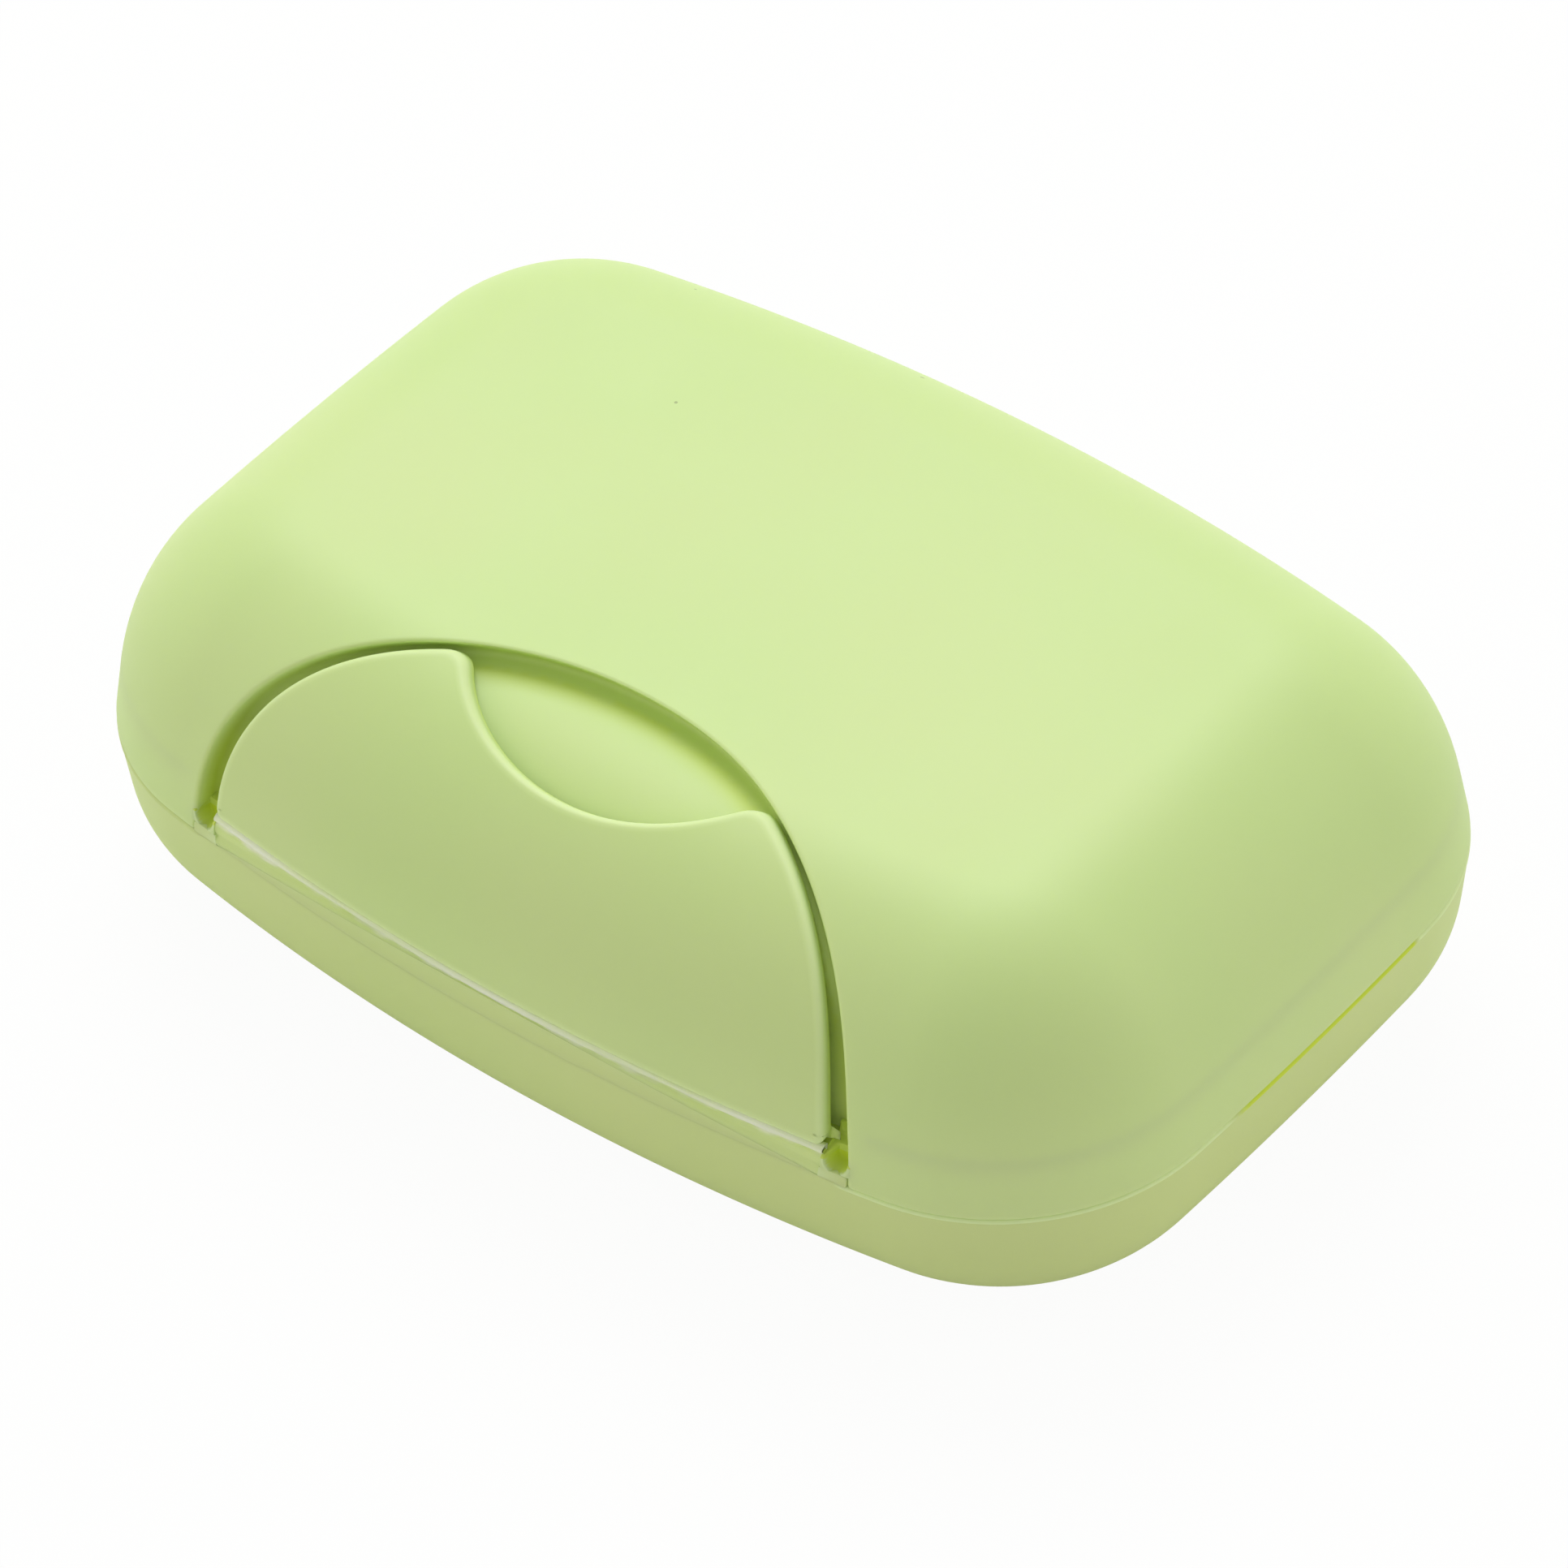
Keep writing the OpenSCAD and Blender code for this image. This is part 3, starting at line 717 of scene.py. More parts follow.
@dataclass(frozen=True)
class LidShell:
    """Deeper upper shell, with the stepped recess for the latch flap."""

    wall: float = 1.6
    edge_z: float = 0.06
    edge_round: float = 0.12
    window: float = 47.0
    lip: float = 0.42
    foot: float = 1.05
    lean: float = 0.06
    end_near: float = 33.5
    end_back: float = 32.4
    end_low: float = 18.33
    end_high: float = 21.3
    hole_w: float = 1.08
    hole_h: float = 1.1
    hole_z: float = 19.4
    hole_d: float = 1.7
    tab_half: float = 24.0
    tab_reach: float = 6.4
    pad_low: float = 17.6
    pad_high: float = 20.5
    rib_out: float = 3.75
    rib_in: float = 7.05
    groove_out: float = 4.65
    groove_in: float = 6.15
    rib_low: float = 20.25
    groove_top: float = 22.1
    roof_top: float = 23.0
    roof_out: float = 1.2
    roof_out_behind: float = 4.6
    rib_out_behind: float = 4.2

    @property
    def lip_z(self) -> float:
        """Height of the outer skin's lowest points from the parting line."""
        return self.edge_z + self.edge_round

    def floor(self, p: np.ndarray) -> np.ndarray:
        """Returns: how deep the recess's floor lies at places up the slanted view."""
        step = smoothstep(p, LATCH.ledge - 2.6, LATCH.ledge + 2.6)
        return LATCH.lower_depth + (LATCH.upper_depth - LATCH.lower_depth) * step

    def steps_up(self, start: float, count: int) -> np.ndarray:
        """Returns: lengths up the section, count of them to the flat top and seven more across the tab."""
        across = LID_FORM.end + np.linspace(0, self.tab_reach, 8)[1:]
        return np.concatenate([np.linspace(start, LID_FORM.end, count), across])

    def outer_skin(self, sketch: MeshSketch) -> np.ndarray:
        """Builds the outside with the recess pressed into it.

        Args:
            sketch: receives the points and faces.
        Returns:
            The numbers of the lower edge's points, in order round the outline.
        """
        middle = PLAN.total / 2
        sides = (middle - self.window, middle + self.window)
        left, right = np.linspace(0, sides[0], 110)[:-1], np.linspace(sides[1], PLAN.total, 110)[1:-1]
        u = np.concatenate([left, np.linspace(*sides, 118), right])
        first, last = (int(np.argmin(np.abs(u - side))) for side in sides)
        tab_first, tab_last = np.where(np.abs(u - middle) < self.tab_half)[0][[0, -1]].tolist()
        s0 = float(LID_FORM.at_height(self.lip_z))
        s = self.steps_up(s0, 52)
        brink, top = 51, len(s) - 1
        grid_u, grid_s = np.meshgrid(u, s)
        row_of, column_of = np.indices(grid_u.shape)
        exists = (row_of <= brink) | ((column_of >= tab_first) & (column_of <= tab_last))
        in_window = (column_of >= first) & (column_of <= last) & exists
        gx, gp = LID_FORM.seen_from(grid_u, grid_s)
        dense = LATCH.recess.dense(-1.0)
        flat = np.stack([gx, gp], -1)
        near = np.full(grid_u.shape, 99.0)
        near[in_window] = distance(flat[in_window], dense[::3])
        loop = np.concatenate([dense, [[-LATCH.recess.half, -9.0], [LATCH.recess.half, -9.0]]])
        within = np.zeros(grid_u.shape, bool)
        within[in_window] = inside(flat[in_window], loop[::4])
        points = LID_FORM.point(grid_u, grid_s)
        sunk = LID_FORM.seen(gx[within], gp[within], self.floor(gp[within]))[0]
        points[within] = self.above_edge(sunk, gx[within], LATCH.lower_depth)
        points[0][within[0]] = LID_FORM.level(gx[0][within[0]], self.lip_z, LATCH.lower_depth)
        index = np.full(grid_u.shape, -1)
        # painted shade: the recess floor is darker near the recess's walls, with a faint tint all over it
        shade = np.where(within, 0.5 * (1 - smoothstep(near, 1.5, 3.6)) + 0.04, 0.0)
        index[exists] = sketch.add(points[exists], shade[exists])
        for i in (*range(first), *range(last, len(u))):
            sketch.strip(index[: brink + 1, (i + 1) % len(u)], index[: brink + 1, i])
        rim = walk([
            (0, first), (brink, first), (brink, tab_first), (top, tab_first),
            (top, tab_last), (brink, tab_last), (brink, last), (0, last),
        ])
        keep = in_window & (near > 1.6)
        keep[tuple(np.array(rim).T)] = True
        chosen = np.argwhere(keep)
        cells = tuple(chosen.T)
        chart = [np.stack([grid_u[cells], grid_s[cells]], 1)]
        numbers = [index[cells]]
        place = {tuple(c): n for n, c in enumerate(chosen.tolist())}
        edges = [(place[a], place[b]) for a, b in zip(rim[:-1], rim[1:])]
        bottom = [(grid_u[0, i], place[0, i]) for i in range(first, last + 1) if (0, i) in place]
        count = len(chosen)
        for offset, share, more, mark in self.wall_rows():
            row = self.row_at(offset)
            depth = share * self.floor(row[:, 1]) + more
            _, row_u, row_s = LID_FORM.seen(row[:, 0], row[:, 1], 0.0)
            on = row_s > s0 + 0.15
            ends = row[[0, -1], 0]
            ends_u = PLAN.front(ends, LID_FORM.at(s0, 0.0)[0])[1]
            spots = LID_FORM.level(ends, self.lip_z, depth[[0, -1]])
            where = LID_FORM.seen(row[on, 0], row[on, 1], depth[on])[0]
            where = self.above_edge(where, row[on, 0], float(depth[0]))
            flat_row = np.stack([[ends_u[0], *row_u[on], ends_u[1]], [s0, *row_s[on], s0]], 1)
            # the walls' painted shade fades to half towards the top of the arch
            fade = 1 - 0.5 * smoothstep(np.array([0.0, *row[on, 1], 0.0]), 9.0, 17.0)
            new = sketch.add(np.concatenate([spots[:1], where, spots[1:]]), mark * fade)
            chart.append(flat_row)
            numbers.append(new)
            edges += [(count + k, count + k + 1) for k in range(len(new) - 1)]
            bottom += [(ends_u[0], count), (ends_u[1], count + len(new) - 1)]
            count += len(new)
        bottom.sort()
        edges += [(a[1], b[1]) for a, b in zip(bottom[:-1], bottom[1:])]
        all_numbers = np.concatenate(numbers)
        sketch.fill(np.concatenate(chart), all_numbers, edges)
        beyond = walk([(brink, last + 1), (brink, len(u) - 1)]) + walk([(brink, 0), (brink, first - 1)])
        sketch.cap(index[at] for at in rim[brink:-brink] + beyond)
        return np.concatenate([index[0, :first], all_numbers[[k for _, k in bottom]], index[0, last + 1 :]])

    def above_edge(self, points: np.ndarray, x: np.ndarray, depth: float) -> np.ndarray:
        """Moves places that would hang below the lid's lower edge up to that edge.

        Args:
            points: places in the recess.
            x: where each one is across the front.
            depth: how deep the recess is beside the edge.
        Returns:
            The places, none of them below the edge.
        """
        low = points[:, 2] < PARTING + self.lip_z
        points[low] = LID_FORM.level(x[low], self.lip_z, depth)
        return points

    def wall_rows(self) -> list[tuple[float, float, float, float]]:
        """Lays out the recess's wall from the outer surface down to the floor.

        Returns:
            Each row's distance outwards, share of the floor's depth, depth added to that, and painted-shade
            mark.
        """
        lip, foot, lean = self.lip, self.foot, self.lean
        rows = [(1.0, 0.0, 0.0, 0.0), (0.6, 0.0, 0.0, 0.0)]
        rows += [(lip - lip * math.sin(a), 0.0, lip - lip * math.cos(a), 0.2 * math.sin(a)) for a in quarter(5)]
        rows.append((-lean / 2, 0.5, (lip - foot) / 2, 0.55))
        for a in quarter(7):
            away, rise = foot * (1 - math.cos(a)), foot * (1 - math.sin(a))
            rows.append((-lean - away, 1.0, -rise, 0.75 - 0.15 * math.sin(a)))
        rows.append((-1.3, 1.0, 0.0, 0.6))
        return rows

    def row_at(self, offset: float) -> np.ndarray:
        """Returns: the recess's edge moved outwards by offset, on the slanted view, from right to left."""

        def spacing(q: np.ndarray) -> np.ndarray:
            """Returns: the distance between points, finer where the floor changes its depth."""
            return np.where(np.abs(q[:, 1] - LATCH.ledge) < 1.2, 0.2, 0.55)

        base = resample(LATCH.recess.dense(0.2), spacing)
        return base - offset * left_normals(base, False)

    def edge_rows(self, sketch: MeshSketch, edge: np.ndarray) -> None:
        """Rounds the lower edge and turns it inwards, all round.

        Args:
            sketch: holds the outer skin.
            edge: the numbers of the lower edge's points.
        """
        points = np.concatenate(sketch.points)[edge]
        normal = left_normals(points[:, :2], True)
        rows = [edge]
        r = self.edge_round
        turn = [(0.08 * r, 0.45 * r), (0.3 * r, 0.8 * r), (r, r), (self.wall - r, r), (self.wall, 0.6 * r)]
        for inward, down in turn:
            moved = points - np.array([0.0, 0.0, down])
            moved[:, :2] += normal * inward
            # painted highlight on the lower edge's rounding, painted shade where it turns inwards
            rows.append(sketch.add(moved, -0.5 if inward < r else 0.3))
        for a, b in zip(rows[1:], rows[:-1]):
            sketch.strip(a, b, True)

    def inner_skin(self, sketch: MeshSketch) -> None:
        """Builds the inside, thickened behind the recess."""
        u = np.linspace(0, PLAN.total, 321)[:-1]
        low_z = self.edge_z + 0.1
        s = self.steps_up(float(LID_FORM.at_height(low_z, self.wall)), 60)
        brink, top = 59, len(s) - 1
        grid_u, grid_s = np.meshgrid(u, s)
        tab = np.where(np.abs(u - PLAN.total / 2) < self.tab_half)[0]
        x, p = LID_FORM.seen_from(grid_u, grid_s)
        arch = LATCH.recess
        half, height = arch.half + LATCH.back_wall, arch.height + LATCH.back_wall
        level = (np.abs(x) / half) ** arch.power[0] + (np.maximum(p, 0) / height) ** arch.power[1]
        bulge = np.where(PLAN.is_front(grid_u), 1 - smoothstep(level, 0.94, 1.02), 0.0)
        inset = self.wall + bulge * (self.floor(p - LATCH.back_wall) + LATCH.back_wall - self.wall)
        d, z = LID_FORM.at(grid_s, inset)
        z = np.maximum(z, low_z)
        d = np.where(PARTING + z < self.groove_top, np.minimum(d, self.groove_out - 0.08), d)
        points = np.stack([*PLAN.place(grid_u, d), PARTING + z], -1)
        index = np.full(grid_u.shape, -1)
        # a tenth of the painted shade over the whole inside
        index[: brink + 1] = sketch.add(points[: brink + 1], 0.1)
        index[brink + 1 :, tab] = sketch.add(points[brink + 1 :, tab], 0.1)
        sketch.grid(index[: brink + 1][::-1], True)
        sketch.grid(index[brink:, tab][::-1])
        a, b = int(tab[0]), int(tab[-1])
        loop = walk([(brink, b + 1), (brink, len(u) - 1)])
        loop += walk([(brink, 0), (brink, a), (top, a), (top, b), (brink, b)])
        sketch.cap(index[at] for at in loop[::-1])

    def seal_channel(self, sketch: MeshSketch) -> None:
        """Builds the two ribs and the roof that hold the ring, set further in behind the recess."""
        u = np.linspace(0, PLAN.total, 361)[:-1]
        wide = self.seal_profile(self.roof_out, self.rib_out, u)
        narrow = self.seal_profile(self.roof_out_behind, self.rib_out_behind, u)
        behind = (1 - smoothstep(np.abs(wide[0, :, 0]), 36.4, 37.4)) * PLAN.is_front(u)
        # a tenth of the painted shade over the ribs and roof
        sketch.grid(sketch.add(blended(wide, narrow, behind), 0.1), True, True)

    def seal_profile(self, start: float, rib_out: float, u: np.ndarray) -> np.ndarray:
        """Sweeps the section of the ribs and their roof round the outline.

        Args:
            start: how far in from the outline the roof begins.
            rib_out: how far in the outer rib's outside lies.
            u: places round the outline.
        Returns:
            The section's points at each place.
        """
        under = self.groove_top - 0.4
        profile = rounded([
            (start, self.roof_top, 0), (self.groove_in + 0.45, self.roof_top, 0.2),
            (self.rib_in, self.roof_top - 0.45, 0.3), (self.rib_in, self.rib_low, 0.2),
            (self.groove_in, self.rib_low, 0.2), (self.groove_in, self.groove_top, 0.15),
            (self.groove_out, self.groove_top, 0.15), (self.groove_out, self.rib_low, 0.2),
            (rib_out, self.rib_low, 0.2), (rib_out, under, 0.2), (start, under, 0),
        ])
        return ring_points(profile, u)

    def groove_end(self, sketch: MeshSketch, side: int) -> None:
        """Closes the groove beside the flap's foot with a rounded end, flush with the wall below it.

        Args:
            sketch: receives the end.
            side: -1 for the left end, 1 for the right.
        """
        back, near, half = self.end_back, self.end_near, LATCH.recess.half
        x = np.concatenate([np.linspace(back, near - 0.2, 5), np.linspace(near - 0.1, half + 0.28, 42)])
        px, pz = np.meshgrid(x, np.linspace(self.end_high, self.end_low, 52))
        centre = (LATCH.flap.half + half) / 2
        drop = np.minimum(pz - self.hole_z, 0.0) * self.hole_w / self.hole_h
        away = np.hypot(px - centre, drop) - self.hole_w
        sink = 1 - smoothstep(away, -0.3, 0.1)
        sink = np.where(away > -0.1, sink, np.maximum(sink, 0.6))
        above = smoothstep(pz, self.hole_z + 0.5, self.end_high - 0.05)
        bed = self.hole_d + (LATCH.lower_depth + 0.2 - self.hole_d) * above
        inner = 1 - smoothstep(px, near - 0.05, near + 0.15)
        rise = np.clip((pz - self.hole_z - 0.05 - 0.25 * inner) / (0.7 + 0.25 * inner), 0, 1)
        shoulder = 0.01 + 2.4 * rise**2 * (3 - 2 * rise)
        shoulder += 1.1 * (1 - smoothstep(px, near - 0.1, near + 0.12))
        deep = shoulder + np.maximum(bed - shoulder, 0.0) * sink
        points = LID_FORM.level(px, pz - PARTING, deep)
        points[..., 0] *= side
        # painted shade in the hole and in the groove above it, a painted highlight round the hole's edge
        mark = np.where(away < 0.02, 0.55 + 0.45 * sink, -0.55 * bell(away, 0.2, 0.12))
        mark = np.where(pz > self.hole_z - 0.1, 0.7, mark)
        index = sketch.add(points, mark.ravel())
        loop = np.concatenate([index[0], index[1:, -1], index[-1, -2::-1], index[-2:0:-1, 0]])
        # painted shade on the skirt behind the groove's end
        skirt = sketch.add(np.concatenate(sketch.points)[loop] + np.array([0.0, 3.2, 0.0]), 0.5)
        before = len(sketch.faces)
        sketch.grid(index)
        sketch.strip(loop, skirt, True)
        if side > 0:
            sketch.turn(before)

    def build(self) -> bpy.types.Object:
        """Returns: the lid, standing for its CAD node."""
        sketch = MeshSketch()
        self.edge_rows(sketch, self.outer_skin(sketch))
        self.inner_skin(sketch)
        self.seal_channel(sketch)
        hinge_pad(sketch, self.pad_low, self.pad_high, LID_FORM)
        self.groove_end(sketch, -1)
        self.groove_end(sketch, 1)
        piece = sketch.build("lid", LID_FINISH, "lid")
        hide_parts("lid_shell")
        return piece


def hinge_pad(sketch: MeshSketch, low: float, high: float, form: WallSection) -> None:
    """Adds a straight pad to the back of a shell, with rounded edges.

    Args:
        sketch: receives the pad.
        low: height of its lower face.
        high: height of its upper face.
        form: the shell's section.
    """
    ends = REAR_HALF - np.array([0.0, 0.12, 0.4])
    flat = REAR_HALF - 1.4
    x = np.concatenate([-ends, np.linspace(-flat, flat, 40), ends[::-1]])
    shrink = np.array([0.35, 0.1, 0.0] + [0.0] * 40 + [0.0, 0.1, 0.35])
    r, t = 0.3, 0.09
    faces = ((r, low), (t, low + t), (0, low + r), (0, high - r), (t, high - t), (r, high))
    seats = []
    for z in (low, high):
        d = form.at(form.at_height(form.upward * (z - PARTING)), 0.0)[0] + 0.8
        seats.append((-PLAN.front(x, d)[0], z))
    rows = [seats[0], *((REAR_OUT - dy - shrink, z) for dy, z in faces), seats[1]]
    index = sketch.add(np.array([np.stack([x, y, np.full(len(x), z)], -1) for y, z in rows]))
    sketch.grid(index[::-1])
    sketch.cap(index[::-1, 0])
    sketch.cap(index[:, -1])


@dataclass(frozen=True)
class LatchFlap:
    """Two-eared flap with the finger scoop, folded shut into the lid's recess."""

    rim_round: float = 0.5
    back_round: float = 0.25
    leg_top: float = 5.2
    spacing: float = 0.45

    def upper_edge(self) -> np.ndarray:
        """Returns: the flap's edge on the slanted view from right foot to left, with scoop and ears."""
        arch = LATCH.flap.dense(-1.0)
        centre = np.array([0.0, LATCH.scoop_h + LATCH.scoop_r])
        angles = np.radians(np.linspace(-85, -5, 4000))
        ears = centre + (LATCH.scoop_r + LATCH.ear_r) * np.stack([np.cos(angles), np.sin(angles)], 1)
        right = arch[arch[:, 0] > 1.0]
        clear = distance(ears, right)
        below = inside(ears, np.concatenate([arch[::6], [[-34.0, -5.0], [34.0, -5.0]]]))
        ear = ears[np.where(below & (clear >= LATCH.ear_r))[0][-1]]
        touch = right[np.argmin(np.linalg.norm(right - ear, axis=1))]
        from_arch, to_scoop = math.atan2(*(touch - ear)[::-1]), math.atan2(*(centre - ear)[::-1])
        turn = np.linspace(from_arch, to_scoop, 60)
        tip = ear + LATCH.ear_r * np.stack([np.cos(turn), np.sin(turn)], 1)
        sweep = np.linspace(math.atan2(*(ear - centre)[::-1]), -math.pi / 2, 120)[1:]
        scoop = centre + LATCH.scoop_r * np.stack([np.cos(sweep), np.sin(sweep)], 1)
        leg = right[right[:, 1] < touch[1]]
        half = np.concatenate([leg[np.argsort(leg[:, 1])], tip, scoop])
        return np.concatenate([half, half[::-1][1:] * np.array([-1, 1])])

    @lru_cache(maxsize=None)
    def stations(self) -> np.ndarray:
        """Returns: evenly spaced points of the edge above its straight legs, as x and p."""
        edge = self.upper_edge()
        return resample(edge[edge[:, 1] > self.leg_top], lambda q: np.full(len(q), self.spacing))

    def loop(self, inset: float) -> np.ndarray:
        """Returns: the whole closed edge on the slanted view at a depth, with rounded foot corners."""
        top = self.stations()
        d, z = LID_FORM.at(LID_FORM.at_height(LATCH.foot, inset), inset)
        x_end = top[0, 0]
        corner = LATCH.foot_corner
        arch = LATCH.flap

        def foot_p(x: Numbers) -> np.ndarray:
            """Returns: the foot's place up the slanted view at x."""
            return (PLAN.front(x, d)[0] + PLAN.width / 2 + z) * ROOT_HALF

        leg_p = np.linspace(1.0, 0.0, 9)[1:]
        corner_p = float(foot_p(x_end))
        low_p = corner_p + corner
        leg_x = arch.half * (1 - (max(low_p, 0.0) / arch.height) ** arch.power[1]) ** (1 / arch.power[0])
        leg = np.stack([x_end + (leg_x - x_end) * (1 - leg_p), low_p + (top[0, 1] - low_p) * leg_p], 1)
        turn = quarter(8)[1:-1]
        bend = np.stack([leg_x - corner + corner * np.cos(turn), low_p - corner * np.sin(turn)], 1)
        x = np.linspace(leg_x - corner, corner - leg_x, 120)
        foot = np.stack([x, foot_p(x)], 1)
        bend[:, 1] += (foot[0, 1] - corner_p) * (1 - (bend[:, 1] - corner_p) / corner)
        right = np.concatenate([leg, bend])
        return np.concatenate([top, right * np.array([-1, 1]), foot[::-1], right[::-1]])

    def build(self) -> bpy.types.Object:
        """Returns: the flap, standing for its CAD node."""
        sketch = MeshSketch()
        r, b, t = self.rim_round, self.back_round, LATCH.flap_t
        # marks: painted highlight on the front edge's rounding, growing towards the side; painted shade on the
        # back's rounding and face
        rows: list[tuple[float, float, float]] = [(0.85, 0.0, 0.0), (0.68, 0.0, -0.15)]
        rows += [(r - r * math.sin(a), r - r * math.cos(a), -0.3 - 0.6 * math.sin(a)) for a in quarter(6)]
        rows += [(0.0, t * 0.6, 0.0)]
        rows += [(b - b * math.cos(a), t - b + b * math.sin(a), 0.35) for a in quarter(4)]
        rows += [(0.8, t, 0.2)]
        numbers = []
        for inward, depth, mark in rows:
            loop = self.loop(depth)
            moved = loop + inward * left_normals(loop, True)
            numbers.append(sketch.add(LID_FORM.seen(moved[:, 0], moved[:, 1], depth)[0], mark))
        for a, c in zip(numbers[:-1], numbers[1:]):
            sketch.strip(c, a, True)
        self.skin(sketch, rows[0], numbers[0], 1.0, False)
        self.skin(sketch, rows[-1], numbers[-1], 0.55, True)
        piece = sketch.build("latch_flap_piece", LATCH_FINISH, "latch")
        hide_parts("latch_flap")
        return piece

    def skin(
        self, sketch: MeshSketch, row: tuple[float, float, float], ring: np.ndarray, step: float, back: bool
    ) -> None:
        """Fills the front or the back of the flap.

        Args:
            sketch: receives the faces.
            row: distance in, depth and mark of the ring.
            ring: the ring's numbers.
            step: distance between the filling points.
            back: whether this is the side with the snap bead.
        """
        inward, depth, mark = row
        loop = self.loop(depth)
        edge = loop + inward * left_normals(loop, True)
        gx, gp = np.meshgrid(np.arange(-34, 34.01, step), np.arange(0, 31, step))
        flat = np.stack([gx.ravel(), gp.ravel()], 1)
        flat = flat[inside(flat, edge)]
        flat = flat[distance(flat, edge) > step * 0.6]
        deep = np.full(len(flat), depth)
        if back:
            bead = np.sqrt(np.clip(1 - ((flat[:, 1] - LATCH.bead_p) / (LATCH.bead_w + 0.25)) ** 2, 0, 1))
            fade = 1 - smoothstep(np.abs(flat[:, 0]), LATCH.bead_half - 0.9, LATCH.bead_half)
            deep += LATCH.bead_t * bead * fade
        new = sketch.add(LID_FORM.seen(flat[:, 0], flat[:, 1], deep)[0], mark)
        n = len(ring)
        before = len(sketch.faces)
        rim = [(k, (k + 1) % n) for k in range(n)]
        sketch.fill(np.concatenate([edge, flat]), np.concatenate([ring, new]), rim)
        if back:
            sketch.turn(before)


